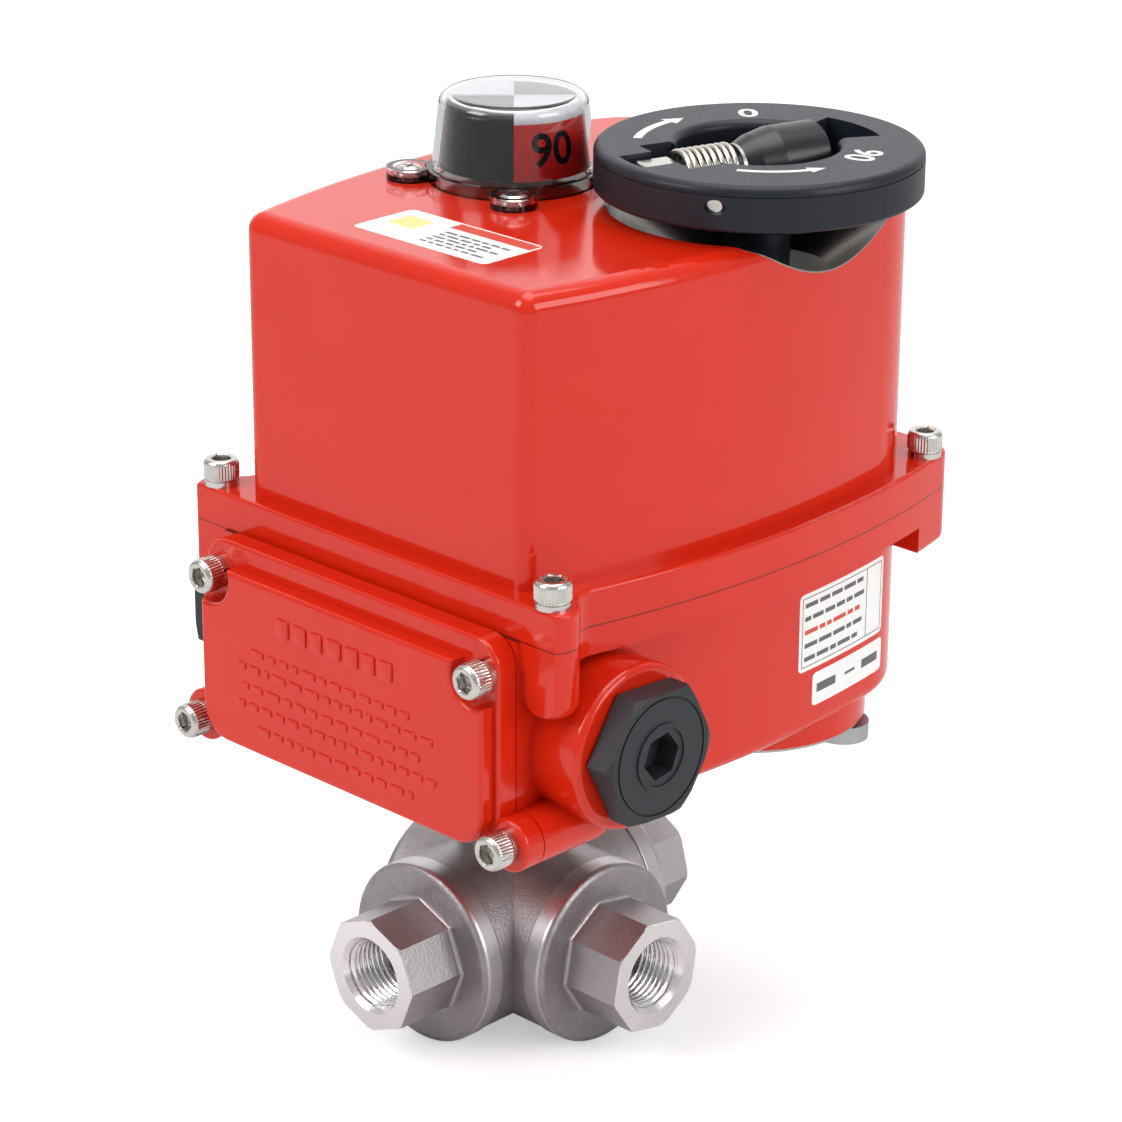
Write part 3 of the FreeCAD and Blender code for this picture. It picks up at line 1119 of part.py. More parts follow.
def notch_cut():
    """Finger notch beyond the end of the grip."""
    height = WHEEL_TOP_Z - NOTCH_FLOOR_Z + 1
    sector = Part.makeCylinder(NOTCH_RADIUS, height, V(0, 0, 0), UP, NOTCH_TO - NOTCH_FROM)
    sector.rotate(V(0, 0, 0), UP, NOTCH_FROM)
    sector.translate(V(*WHEEL_AT, NOTCH_FLOOR_Z))
    return sector


def crank_slot():
    """Slot of the eye, with its round outer end, and the room on both sides of the spring."""
    half = CRANK_BLOCK + CRANK_SLOT_GAP
    high = WHEEL_TOP_Z - CRANK_Z + 1
    slot = crank_frame(block(-PIVOT_RADIUS, PIVOT_RADIUS, -half, half, -CRANK_SLOT_DEEP, high))
    end = cyl(CRANK_SLOT_REACH, 2 * WHEEL_THICK, (*WHEEL_AT, WHEEL_LOW_Z - 1))
    side = SPRING_ROOM_HALF
    room = crank_frame(block(SPRING_ROOM_FROM, SPRING_ROOM_TO, -side, side, -CRANK_SLOT_DEEP, high))
    wide = GRIP + 1.0
    deep = crank_frame(block(SPRING_ROOM_FROM, PIVOT_RADIUS, -wide, wide, POCKET_FLOOR_Z - CRANK_Z, high))
    inner = cyl(HUB_DISC - HUB_DISC_WALL, 2 * WHEEL_THICK, (*WHEEL_AT, POCKET_FLOOR_Z))
    return [slot.common(end), room, deep.common(inner)]


def handwheel():
    """Moulded hand wheel with a hub, a round pocket and the slot of the crank."""
    rim = cyl(WHEEL_RADIUS, WHEEL_THICK, (*WHEEL_AT, WHEEL_LOW_Z))
    rim = rim.makeFillet(WHEEL_TOP_EDGE, level_edges(rim, WHEEL_TOP_Z))
    rim = rim.makeFillet(WHEEL_LOW_EDGE, level_edges(rim, WHEEL_LOW_Z))
    disc = turned([(0, HUB_DISC_Z), (HUB_DISC - HUB_DISC_BEVEL, HUB_DISC_Z),
                   (HUB_DISC, HUB_DISC_Z + HUB_DISC_BEVEL), (HUB_DISC, WHEEL_LOW_Z + 1),
                   (0, WHEEL_LOW_Z + 1)], (*WHEEL_AT, 0))
    hub = cyl(HUB, HUB_DISC_Z + 1 - HUB_LOW_Z, (*WHEEL_AT, HUB_LOW_Z))
    wheel = union(rim, disc, hub)
    pocket = cyl(POCKET, WHEEL_TOP_Z - POCKET_FLOOR_Z + 1, (*POCKET_AT, POCKET_FLOOR_Z))
    wheel = wheel.cut(pocket.fuse(crank_slot() + [notch_cut()]))
    round_pocket = [e for e in level_edges(wheel, WHEEL_TOP_Z) if near_pocket(e)]
    wheel = wheel.makeFillet(POCKET_EDGE, round_pocket)
    pin = cyl(CRANK_PIN, 2 * WHEEL_RADIUS, pin_start(), pin_direction())
    shaft = cyl(WHEEL_SHAFT, WHEEL_SHAFT_TOP_Z + SHAFT_END_GAP - HUB_LOW_Z + 1, (*WHEEL_AT, HUB_LOW_Z - 1))
    line_at = (*WHEEL_AT, WHEEL_TOP_Z - WHEEL_LINE_Z)
    line = ring(WHEEL_RADIUS + 1, WHEEL_RADIUS - WHEEL_LINE, WHEEL_LINE, line_at)
    return wheel.cut(Part.Compound([pin, shaft])).cut(line)


def near_pocket(edge):
    """True for the round edge of the pocket at the wheel's top."""
    middle = edge.valueAt((edge.FirstParameter + edge.LastParameter) / 2)
    return abs(math.hypot(middle.x - POCKET_AT[0], middle.y - POCKET_AT[1]) - POCKET) < 0.01


def pin_direction():
    return V(*polar((0, 0), 1.0, CRANK_ANGLE - 90), 0)


def pin_start():
    return (*polar(PIVOT_AT, -PIN_BEHIND, CRANK_ANGLE - 90), CRANK_Z)


def crank_pin():
    """Steel pivot pin, pressed in from the rim of the wheel."""
    pin = cyl(CRANK_PIN, 2 * WHEEL_RADIUS, pin_start(), pin_direction())
    return pin.common(cyl(WHEEL_RADIUS - PIN_SUNK, WHEEL_THICK, (*WHEEL_AT, WHEEL_LOW_Z)))


def crank_arm():
    """Square steel eye on the pivot pin, with the rod that carries spring and grip."""
    half = CRANK_BLOCK
    eye = block(-CRANK_BLOCK_BACK, CRANK_BLOCK_LONG, -half, half, -half, half)
    ends = [e for e in eye.Edges if e.BoundBox.XMax < -CRANK_BLOCK_BACK + 0.01 and e.BoundBox.YLength > half]
    eye = eye.makeFillet(CRANK_BLOCK_EDGE, ends)
    rod = Part.makeCylinder(CRANK_ROD, ROD_END - CRANK_BLOCK_LONG + 1, V(CRANK_BLOCK_LONG - 1, 0, 0), RIGHT)
    arm = union(eye, rod)
    arm = arm.cut(Part.makeCylinder(CRANK_PIN + RUN, 4 * half, V(0, -2 * half, 0), BACK))
    return crank_frame(arm)


def crank_spring():
    """Outer shape of the coil spring on the rod."""
    inner = SPRING_COIL - SPRING_WIRE
    outer = SPRING_COIL + SPRING_WIRE
    return along([(SPRING_FROM, inner), (SPRING_TO, inner), (SPRING_TO, outer), (SPRING_FROM, outer)])


def grip_sleeve():
    """Steel sleeve that slides on the rod, pushed outward by the spring."""
    bore = CRANK_ROD + RUN
    start = SPRING_TO + END_GAP
    flange_end = start + SLEEVE_FLANGE_THICK
    end = GRIP_BORE_END - 0.6
    return along([(start, bore), (end, bore), (end, SLEEVE), (flange_end, SLEEVE),
                  (flange_end, SLEEVE_FLANGE), (start, SLEEVE_FLANGE)])


def crank_grip():
    """Moulded grip that spins on the sleeve."""
    start = SPRING_TO + SLEEVE_FLANGE_THICK + 2 * END_GAP
    bore = SLEEVE + RUN
    return along([(start, bore), (start, GRIP_NECK), (GRIP_SHOULDER_AT, GRIP_SHOULDER), (GRIP_TAPER_TO, GRIP),
                  (GRIP_END - GRIP_EDGE, GRIP), (GRIP_END, GRIP - GRIP_EDGE), (GRIP_END, 0),
                  (GRIP_BORE_END, 0), (GRIP_BORE_END, bore)])


def handwheel_shaft():
    low = FLOOR_Z + 2
    return cyl(WHEEL_SHAFT, WHEEL_SHAFT_TOP_Z - low, (*WHEEL_AT, low))


# ---- Declutch lever ----


def boss_plate():
    """Machined steel ring plate on the round boss under the housing."""
    low = BOSS_Z - BOSS_PLATE
    plate = cyl(BOSS_RADIUS - BOSS_PLATE_IN, BOSS_PLATE, (*BOSS_AT, low))
    plate = plate.cut(cyl(PAD_RADIUS + BOSS_PLATE_GAP, BOSS_PLATE + 2, (0, 0, low - 1)))
    return plate.cut(cyl(LEVER_SHAFT + LEVER_GAP, BOSS_PLATE + 2, (*LEVER_AT, low - 1)))


def declutch_shaft():
    return cyl(LEVER_SHAFT, DECLUTCH_Z + DECLUTCH_THICK - LEVER_Z, (*LEVER_AT, LEVER_Z))


def declutch_lever():
    """Flat steel lever that swings under the boss."""
    arm = block(0, LEVER_REACH, -LEVER_TIP, LEVER_TIP, 0, LEVER_THICK)
    tip = cyl(LEVER_TIP, LEVER_THICK, (LEVER_REACH, 0, 0))
    lever = union(cyl(LEVER_HUB, LEVER_THICK, (0, 0, 0)), arm, tip)
    lever = lever.cut(cyl(LEVER_SHAFT, LEVER_THICK, (0, 0, 0)))
    lever.Placement = FreeCAD.Placement(V(*LEVER_AT, LEVER_Z), FreeCAD.Rotation(UP, LEVER_ANGLE))
    return lever


def declutch_cam():
    """Finger on the inner end of the lever's shaft."""
    half = DECLUTCH_FINGER_HALF
    cam = union(cyl(DECLUTCH_CAM, DECLUTCH_THICK, (0, 0, 0)),
                block(0, DECLUTCH_FINGER, -half, half, 0, DECLUTCH_THICK),
                cyl(half, DECLUTCH_THICK, (DECLUTCH_FINGER, 0, 0)))
    cam = cam.cut(cyl(LEVER_SHAFT, DECLUTCH_THICK, (0, 0, 0)))
    turn = FreeCAD.Rotation(UP, LEVER_ANGLE + DECLUTCH_TURN)
    cam.Placement = FreeCAD.Placement(V(*LEVER_AT, DECLUTCH_Z), turn)
    return cam


# ---- Valve ----


def valve_body():
    """Stainless cast body with three open arms, a closed one, a neck and the mounting flange."""
    arms = cyl(ARM, 2 * ARM_END, (-ARM_END, 0, 0), RIGHT)
    closed = [e for e in arms.Edges if e.BoundBox.XMax < -ARM_END + 0.01]
    arms = arms.makeFillet(BLIND_EDGE, closed).fuse(cyl(ARM, 2 * ARM_END, (0, -ARM_END, 0), BACK))
    neck = cyl(NECK, VALVE_FLANGE_Z - 10, (0, 0, 10))
    half = VALVE_FLANGE_HALF
    flange = block(-half, half, -half, half, VALVE_FLANGE_Z, PAD_Z)
    flange = flange.makeFillet(VALVE_FLANGE_CORNER, upright_edges(flange, lambda x, y: True))
    body = union(arms, neck, flange)
    rooms = [Part.makeSphere(CAVITY)]
    rooms.append(cyl(STEM + RUN, PACKING_Z, (0, 0, 0)))
    rooms.append(cyl(PACKING, PAD_Z, (0, 0, PACKING_Z)))
    rooms += [cyl(SPIGOT, ARM_END + 1, (0, 0, 0), axis) for axis in (-BACK, RIGHT, BACK)]
    rooms.append(cyl(SEAT, SEAT_TO, (0, 0, 0), -RIGHT))
    rooms += [cyl(M6_HOLE, VALVE_FLANGE_THICK + 2, (x, y, VALVE_FLANGE_Z - 1)) for x, y in BOLT_PLACES]
    for room in rooms:
        body = body.cut(room)
    return body


def end_cap(direction, turn):
    """Threaded end: a spigot with a seat pocket, a round shoulder and an octagon with a pipe thread."""
    foot = CAP_FACE - 1
    wide = PORT_RING + PORT_BEVEL
    taper = turned([(0, foot), (wide, foot), (wide, PORT_FACE - PORT_BEVEL), (PORT_RING, PORT_FACE),
                    (0, PORT_FACE)])
    octagon = prism(PORT_SIDES, PORT_FLATS, PORT_FACE - foot, (0, 0, foot), UP, turn).common(taper)
    disc = cyl(CAP_RADIUS, CAP_THICK, (0, 0, ARM_END))
    disc = disc.makeFillet(CAP_EDGE, level_edges(disc, CAP_FACE))
    disc = disc.makeFillet(CAP_LINE, level_edges(disc, ARM_END))
    head = union(disc, octagon)
    root = [e for e in level_edges(head, CAP_FACE) if e.BoundBox.DiagonalLength < CAP_RADIUS]
    head = head.makeFillet(PORT_ROOT, root)
    spigot = cyl(SPIGOT, ARM_END + 1 - SPIGOT_FROM, (0, 0, SPIGOT_FROM))
    mouth = PORT_FACE - COUNTERSINK
    thread_end = PORT_FACE - PORT_THREAD_LONG
    bore = turned([(0, 0), (SEAT, 0), (SEAT, SEAT_TO), (PORT_BORE, SEAT_TO), (PORT_BORE, thread_end),
                   (PORT_THREAD, thread_end), (PORT_THREAD, mouth),
                   (PORT_THREAD + COUNTERSINK + 1, PORT_FACE + 1), (0, PORT_FACE + 1)])
    cap = union(head, spigot).cut(bore)
    cap.Placement = FreeCAD.Placement(V(0, 0, 0), FreeCAD.Rotation(UP, direction))
    return cap


def ball_seats():
    """Four plastic seat rings round the ball, three in the caps and one in the closed arm."""
    seats = []
    for axis in (-BACK, RIGHT, BACK, -RIGHT):
        start = axis * SEAT_FROM
        seat = ring(SEAT, PORT_BORE, SEAT_TO - SEAT_FROM, (start.x, start.y, 0), axis)
        seats.append(seat.cut(Part.makeSphere(BALL + BALL_GAP)))
    return seats


def valve_ball():
    """Ball with an L-shaped passage from the front port to the branch port."""
    ball = Part.makeSphere(BALL)
    passage = union(cyl(PORT_BORE, 2 * BALL, (0, 0, 0), -BACK), cyl(PORT_BORE, 2 * BALL, (0, 0, 0), RIGHT),
                    Part.makeSphere(PORT_BORE))
    slot = block(-TANG / 2, TANG / 2, -BALL, BALL, BALL - TANG_DEEP, BALL + 1)
    return ball.cut(passage).cut(slot)


def valve_stem():
    """Stem with a tang in the ball's slot and a square on top."""
    half = SQUARE_DRIVE / 2
    shoulder = BALL + TANG_GAP
    tang = block(-TANG / 2, TANG / 2, -STEM, STEM, BALL - TANG_DEEP, shoulder + 1)
    tang = tang.common(cyl(STEM, 2 * BALL, (0, 0, 0)))
    shank = cyl(STEM, STEM_TOP_Z - shoulder, (0, 0, shoulder))
    square = block(-half, half, -half, half, STEM_TOP_Z - 1, SQUARE_TOP_Z)
    return union(tang, shank, square)


def stem_packing():
    thick = (GLAND_Z - PACKING_Z) / PACKING_RINGS
    return [ring(PACKING, STEM + RUN, thick, (0, 0, PACKING_Z + thick * k)) for k in range(PACKING_RINGS)]


def gland_nut():
    nut = ring(PACKING, STEM + 2 * RUN, GLAND_TOP_Z - GLAND_Z, (0, 0, GLAND_Z))
    half = GLAND_SLOT / 2
    low = GLAND_TOP_Z - GLAND_SLOT_DEEP
    along_x = block(-PACKING, PACKING, -half, half, low, GLAND_TOP_Z + 1)
    along_y = block(-half, half, -PACKING, PACKING, low, GLAND_TOP_Z + 1)
    return nut.cut(along_x.fuse(along_y))


def mounting_bolts():
    shank = VALVE_FLANGE_THICK + MOUNT_GRIP
    return [socket_screw((x, y, VALVE_FLANGE_Z), -UP, shank) for x, y in BOLT_PLACES]


# ---- Build ----

os.makedirs("parts", exist_ok=True)
cover_screws, cover_washers = cover_fasteners()
term_screws, term_washers = terminal_fasteners()
dome_screws, dome_washers = dome_fasteners()

save("housing", housing())
save("cover", cover())
save("cover_gasket", cover_gasket())
save("cover_screws", *cover_screws)
save("cover_spring_washers", *cover_washers)
save("terminal_cover", terminal_cover())
save("terminal_cover_gasket", gasket_frame(TERM_FRONT - GASKET_DEPTH, TERM_FRONT))
save("terminal_cover_screws", *term_screws)
save("terminal_cover_washers", *term_washers)
save("terminal_block", terminal_block())
save("conduit_plugs", *[conduit_plug(side, turn) for side, turn in PLUG_TURNS])
save("conduit_gaskets", conduit_gasket(1), conduit_gasket(-1))
save("gear_plate", gear_plate())
save("gear_plate_screws", *gear_plate_screws())
save("shaft_bushes", *shaft_bushes())
save("output_shaft", output_shaft())
save("output_gear", output_gear())
save("intermediate_axle", intermediate_axle())
save("intermediate_gear", intermediate_gear())
save("motor_gearhead", motor_gearhead())
save("motor_can", motor_can())
save("motor_screws", *motor_screws())
save("motor_shaft", motor_shaft())
save("motor_pinion", pinion(MOTOR_AT, MOTOR_ANGLE, MOTOR_SHAFT))
save("motor_capacitor", capacitor())
save("capacitor_clip", capacitor_clip())
save("switch_bracket", switch_bracket())
save("limit_switches", *limit_switches())
save("switch_cams", *switch_cams())
save("heater", heater())
save("indicator_shaft", indicator_shaft())
save("indicator_drum", indicator_drum())
save("indicator_red_sectors", drum_sector(-45), drum_sector(135))
save("indicator_dome", indicator_dome())
save("dome_screws", *dome_screws)
save("dome_washers", *dome_washers)
save("handwheel", handwheel())
save("handwheel_shaft", handwheel_shaft())
save("handwheel_pinion", pinion(WHEEL_AT, WHEEL_ANGLE, WHEEL_SHAFT))
save("crank_pin", crank_pin())
save("crank_arm", crank_arm())
save("crank_spring", crank_spring())
save("grip_sleeve", grip_sleeve())
save("crank_grip", crank_grip())
save("boss_plate", boss_plate())
save("declutch_shaft", declutch_shaft())
save("declutch_lever", declutch_lever())
save("declutch_cam", declutch_cam())
save("valve_body", valve_body())
save("end_cap_front", end_cap(-BACK, 0.0))
save("end_cap_branch", end_cap(RIGHT, 12.0))
save("end_cap_rear", end_cap(BACK, 7.0))
save("ball_seats", *ball_seats())
save("valve_ball", valve_ball())
save("valve_stem", valve_stem())
save("stem_packing", *stem_packing())
save("gland_nut", gland_nut())
save("mounting_bolts", *mounting_bolts())
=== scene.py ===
import json
import math
import random

import bmesh
import bpy
from mathutils import Matrix, Vector
from mathutils.bvhtree import BVHTree


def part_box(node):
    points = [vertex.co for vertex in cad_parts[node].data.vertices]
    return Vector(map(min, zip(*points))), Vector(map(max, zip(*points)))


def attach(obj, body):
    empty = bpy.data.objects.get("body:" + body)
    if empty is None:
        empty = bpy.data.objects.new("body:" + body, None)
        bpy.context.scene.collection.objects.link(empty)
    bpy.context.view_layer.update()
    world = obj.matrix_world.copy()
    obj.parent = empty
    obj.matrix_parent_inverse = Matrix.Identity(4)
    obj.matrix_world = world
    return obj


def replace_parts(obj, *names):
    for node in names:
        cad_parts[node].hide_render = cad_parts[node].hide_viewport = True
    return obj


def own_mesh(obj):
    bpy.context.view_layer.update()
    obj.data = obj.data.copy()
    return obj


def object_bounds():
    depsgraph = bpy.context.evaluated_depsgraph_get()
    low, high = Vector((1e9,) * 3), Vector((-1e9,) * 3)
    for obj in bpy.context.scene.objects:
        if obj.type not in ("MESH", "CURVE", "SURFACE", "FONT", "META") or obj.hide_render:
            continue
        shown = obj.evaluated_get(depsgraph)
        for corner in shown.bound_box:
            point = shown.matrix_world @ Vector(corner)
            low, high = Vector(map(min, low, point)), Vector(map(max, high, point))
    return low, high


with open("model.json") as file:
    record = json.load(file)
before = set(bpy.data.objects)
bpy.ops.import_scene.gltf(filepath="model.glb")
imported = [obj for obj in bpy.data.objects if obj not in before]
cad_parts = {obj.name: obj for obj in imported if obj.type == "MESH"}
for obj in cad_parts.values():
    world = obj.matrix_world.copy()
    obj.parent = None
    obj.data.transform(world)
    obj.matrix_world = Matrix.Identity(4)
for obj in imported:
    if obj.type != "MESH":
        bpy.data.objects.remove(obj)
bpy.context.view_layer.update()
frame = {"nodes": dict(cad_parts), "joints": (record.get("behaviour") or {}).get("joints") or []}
NODES = frame["nodes"]
JOINTS = {j["name"]: j for j in frame["joints"]}
MM = 0.001
UP = Vector((0, 0, 1))
RIGHT = Vector((1, 0, 0))
REAR = Vector((0, 1, 0))
FRONT = Vector((0, -1, 0))

# ---------------------------------------------------------------------------
# Camera and view
# A plain long lens from the front right, a little above the cover.
# ---------------------------------------------------------------------------
CAMERA_AT = Vector((718.49, -717.61, 509.25)) * MM
CAMERA_LOOK = Vector((-0.65006, 0.66694, -0.36415)).normalized()
CAMERA_ROLL = math.radians(0.32)
camera_data = bpy.data.cameras.new("camera")
camera_data.lens = 121.77
camera_data.sensor_width = 36.0
camera_data.clip_start = 0.05
camera_data.clip_end = 20.0
camera = bpy.data.objects.new("camera", camera_data)
level_right = CAMERA_LOOK.cross(UP).normalized()
level_up = level_right.cross(CAMERA_LOOK)
right = level_right * math.cos(CAMERA_ROLL) + level_up * math.sin(CAMERA_ROLL)
camera.matrix_world = Matrix((right, right.cross(CAMERA_LOOK), -CAMERA_LOOK)).transposed().to_4x4()
camera.location = CAMERA_AT
bpy.context.scene.collection.objects.link(camera)
bpy.context.scene.camera = camera
bpy.context.scene.view_settings.view_transform = "Standard"


# ---------------------------------------------------------------------------
# Material helpers
# ---------------------------------------------------------------------------
def rgb(code):
    """A colour written as sRGB hex, as the linear colour that a shader takes."""
    parts = [int(code[i : i + 2], 16) / 255 for i in (1, 3, 5)]
    return (*[p / 12.92 if p <= 0.04045 else ((p + 0.055) / 1.055) ** 2.4 for p in parts], 1.0)


def add(tree, kind, inputs=None, **settings):
    """One shader node; each input is a value, or the socket it is linked to."""
    node = tree.nodes.new("ShaderNode" + kind)
    for name, value in settings.items():
        setattr(node, name, value)
    for name, value in (inputs or {}).items():
        if isinstance(value, bpy.types.NodeSocket):
            tree.links.new(value, node.inputs[name])
        else:
            node.inputs[name].default_value = value
    return node


def start(name):
    """A new material: its node tree, its Principled shader and its coordinates in millimetres."""
    material = bpy.data.materials.new(name)
    material.use_nodes = True
    tree = material.node_tree
    shader = tree.nodes["Principled BSDF"]
    place = add(tree, "TexCoord").outputs["Object"]
    place = add(tree, "VectorMath", {0: place, 1: (1000.0,) * 3}, operation="MULTIPLY").outputs[0]
    return material, tree, shader, place


def noise(tree, place, size_mm, detail=2.0, rough=0.5):
    """Soft noise with blotches of about this size."""
    inputs = {"Vector": place, "Scale": 1.0 / size_mm, "Detail": detail, "Roughness": rough}
    return add(tree, "TexNoise", inputs).outputs["Fac"]


def span(tree, value, low, high, out_low=0.0, out_high=1.0):
    """value, moved from low..high to out_low..out_high and held there."""
    inputs = {"Value": value, "From Min": low, "From Max": high, "To Min": out_low, "To Max": out_high}
    return add(tree, "MapRange", inputs).outputs["Result"]


def calc(tree, operation, first, second=0.0):
    """One step of arithmetic on values or sockets."""
    return add(tree, "Math", {0: first, 1: second}, operation=operation).outputs[0]


def blend(tree, share, first, second):
    """One colour turning into another as share goes from 0 to 1."""
    node = add(tree, "Mix", {"Factor": share}, data_type="RGBA")
    for socket, value in ((node.inputs[6], first), (node.inputs[7], second)):
        if isinstance(value, bpy.types.NodeSocket):
            tree.links.new(value, socket)
        else:
            socket.default_value = value
    return node.outputs[2]


def blend_value(tree, share, first, second):
    """One value turning into another as share goes from 0 to 1."""
    return calc(tree, "ADD", calc(tree, "MULTIPLY", calc(tree, "SUBTRACT", 1.0, share), first),
                calc(tree, "MULTIPLY", share, second))


def bump(tree, height, depth_mm, normal=None):
    """A normal shaped by height, on top of another normal if one is given."""
    inputs = {"Height": height, "Strength": 1.0, "Distance": depth_mm * MM}
    if normal is not None:
        inputs["Normal"] = normal
    return add(tree, "Bump", inputs).outputs["Normal"]


def put(tree, shader, **values):
    """Sets the shader's own sockets, or links them."""
    for name, value in values.items():
        socket = shader.inputs[name.replace("_", " ")]
        if isinstance(value, bpy.types.NodeSocket):
            tree.links.new(value, socket)
        else:
            socket.default_value = value


def plain_material(name, colour, shade, size_mm, rough, rough_far, metallic=0.0, bump_mm=0.0, gloss=0.5):
    """A moulded or machined finish: two close colours, uneven gloss and a fine surface."""
    material, tree, shader, place = start(name)
    wide = noise(tree, place, size_mm * 8, 3)
    fine = noise(tree, place, size_mm, 4, 0.6)
    put(tree, shader,
        Base_Color=blend(tree, wide, rgb(colour), rgb(shade)),
        Roughness=span(tree, fine, 0.3, 0.7, rough, rough_far),
        Metallic=metallic,
        Specular_IOR_Level=gloss)
    if bump_mm:
        put(tree, shader, Normal=bump(tree, fine, bump_mm))
    return material


# ---------------------------------------------------------------------------
# Materials of the casing
# Baked red enamel on cast aluminium: a glossy skin with slight orange peel, and dust in the paint.
# The dish under the hand wheel is turned after painting, so it is bare aluminium; its grey is darker than
# the bare metal, as painted shade under the wheel.
# ---------------------------------------------------------------------------
WHEEL_AXIS = Vector(JOINTS["handwheel_turn"]["pos_m"]) / MM
COVER_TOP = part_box("cover")[1].z / MM
JOINT_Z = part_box("housing")[1].z / MM
DISH_FLOOR = 20.0            # radius of the dish's floor
DISH_RIM = 41.6              # radius of its rim, at the cover's top
DISH_FLOOR_Z = COVER_TOP - 17.8
DUST_SPACING = 3.6


def turned_dish(tree, place, height):
    """Where the dish is bare, and the fine rings that the tool left in it."""
    axis = (WHEEL_AXIS.x, WHEEL_AXIS.y, 0.0)
    level_place = add(tree, "VectorMath", {0: place, 1: (1.0, 1.0, 0.0)}, operation="MULTIPLY").outputs[0]
    away = add(tree, "VectorMath", {0: level_place, 1: axis}, operation="DISTANCE").outputs["Value"]
    cone = span(tree, height, DISH_FLOOR_Z, COVER_TOP, DISH_FLOOR, DISH_RIM)
    on_cone = calc(tree, "LESS_THAN", calc(tree, "ABSOLUTE", calc(tree, "SUBTRACT", away, cone)), 0.5)
    on_cone = calc(tree, "MULTIPLY", on_cone, calc(tree, "LESS_THAN", height, COVER_TOP - 0.6))
    on_cone = calc(tree, "MULTIPLY", on_cone, calc(tree, "GREATER_THAN", height, DISH_FLOOR_Z - 0.1))
    level = calc(tree, "ABSOLUTE", calc(tree, "SUBTRACT", height, DISH_FLOOR_Z))
    on_floor = calc(tree, "MULTIPLY", calc(tree, "LESS_THAN", level, 0.1),
                    calc(tree, "LESS_THAN", away, DISH_FLOOR + 0.5))
    across = add(tree, "CombineXYZ", {"X": away}).outputs[0]
    rings = add(tree, "TexWave", {"Vector": across, "Scale": 0.9, "Distortion": 0.6, "Detail": 1.0},
                wave_type="BANDS").outputs["Fac"]
    return calc(tree, "MAXIMUM", on_cone, on_floor), rings


def enamel_material(name, dish=False, seam=True):
    """Red enamel; seam is the dark line of the joint between housing and cover."""
    material, tree, shader, place = start(name)
    wide = noise(tree, place, 34.0, 2)
    peel = noise(tree, place, 2.2, 2, 0.45)
    ripple = noise(tree, place, 9.0, 1)
    dust = add(tree, "TexVoronoi", {"Vector": place, "Scale": 1 / DUST_SPACING, "Randomness": 1.0})
    speck = span(tree, dust.outputs["Distance"], 0.02, 0.045, 1.0, 0.0)
    height = add(tree, "SeparateXYZ", {0: place}).outputs["Z"]
    colour = blend(tree, wide, rgb("#D5280D"), rgb("#CB220B"))
    colour = blend(tree, calc(tree, "MULTIPLY", speck, 0.30), colour, rgb("#E8705C"))
    if seam:
        joint = calc(tree, "ABSOLUTE", calc(tree, "SUBTRACT", height, JOINT_Z))
        colour = blend(tree, span(tree, joint, 0.10, 0.26, 0.85, 0.0), colour, rgb("#4A0D08"))
    rough = span(tree, peel, 0.3, 0.7, 0.08, 0.14)
    metallic = 0.0
    normal = bump(tree, ripple, 0.034, bump(tree, peel, 0.012))
    if dish:
        bare, rings = turned_dish(tree, place, height)
        # Bare turned aluminium; this grey is darker than the metal itself, as painted shade under the
        # wheel.
        colour = blend(tree, bare, colour, rgb("#94918D"))
        rough = blend_value(tree, bare, rough, 0.24)
        metallic = bare
        normal = bump(tree, calc(tree, "MULTIPLY", rings, bare), 0.02, normal)
    put(tree, shader, Base_Color=colour, Roughness=rough, Metallic=metallic, Normal=normal,
        Specular_IOR_Level=0.42)
    return material


RED_ENAMEL = enamel_material("red_enamel_on_casting")
RED_PANEL = enamel_material("red_enamel_on_terminal_cover", seam=False)
RED_ENAMEL_DISH = enamel_material("red_enamel_with_turned_dish", dish=True)
# Turned stainless screws and washers: bright, with light handling marks.
SCREW_STEEL = plain_material("turned_stainless_screws", "#D6D3CE", "#BDBAB5", 0.5, 0.16, 0.30,
                             metallic=1.0, bump_mm=0.004)
# Moulded nylon of the conduit plugs: dark and dull, with a fine grain.
PLUG_NYLON = plain_material("moulded_nylon_plug", "#2A2C31", "#25272B", 0.35, 0.44, 0.58,
                            bump_mm=0.014, gloss=0.35)
# Moulded slate plastic of the hand wheel: satin, with a little flow shading.
WHEEL_PLASTIC = plain_material("moulded_hand_wheel", "#1E222B", "#191D25", 0.6, 0.34, 0.46,
                               bump_mm=0.005, gloss=0.28)
# Plastic of the grip: black, a little glossier than the wheel.
GRIP_PLASTIC = plain_material("polished_grip_plastic", "#1D1F24", "#17191D", 0.7, 0.24, 0.34,
                              bump_mm=0.003, gloss=0.4)
# Indicator drum: deep black behind the dome.
DRUM_BLACK = plain_material("gloss_black_drum", "#0B0C0F", "#101115", 0.8, 0.20, 0.30,
                            bump_mm=0.002, gloss=0.25)
# Seals: dull black lines in the joints.
RUBBER = plain_material("black_seal_rubber", "#1B1B1C", "#232324", 0.4, 0.6, 0.75, bump_mm=0.01)
# Gears and shafts: grey steel with a film of oil.
GEAR_STEEL = plain_material("oiled_gear_steel", "#8E9092", "#77797C", 0.4, 0.24, 0.4,
                            metallic=1.0, bump_mm=0.004)
# Brackets and plates: pale zinc, slightly cloudy.
PLATE_STEEL = plain_material("zinc_plated_sheet", "#B4B6B8", "#A2A5A9", 0.7, 0.28, 0.42,
                             metallic=1.0, bump_mm=0.004)
# Bushes: warm yellow metal with tool marks.
BRONZE = plain_material("turned_bronze", "#B98A4B", "#A2763C", 0.5, 0.26, 0.42, metallic=1.0, bump_mm=0.004)
# Motor, gearhead and heater: smooth pale metal.
MOTOR_METAL = plain_material("anodised_motor_shell", "#B8BABC", "#A6A8AB", 0.5, 0.26, 0.36,
                             metallic=1.0, bump_mm=0.003)
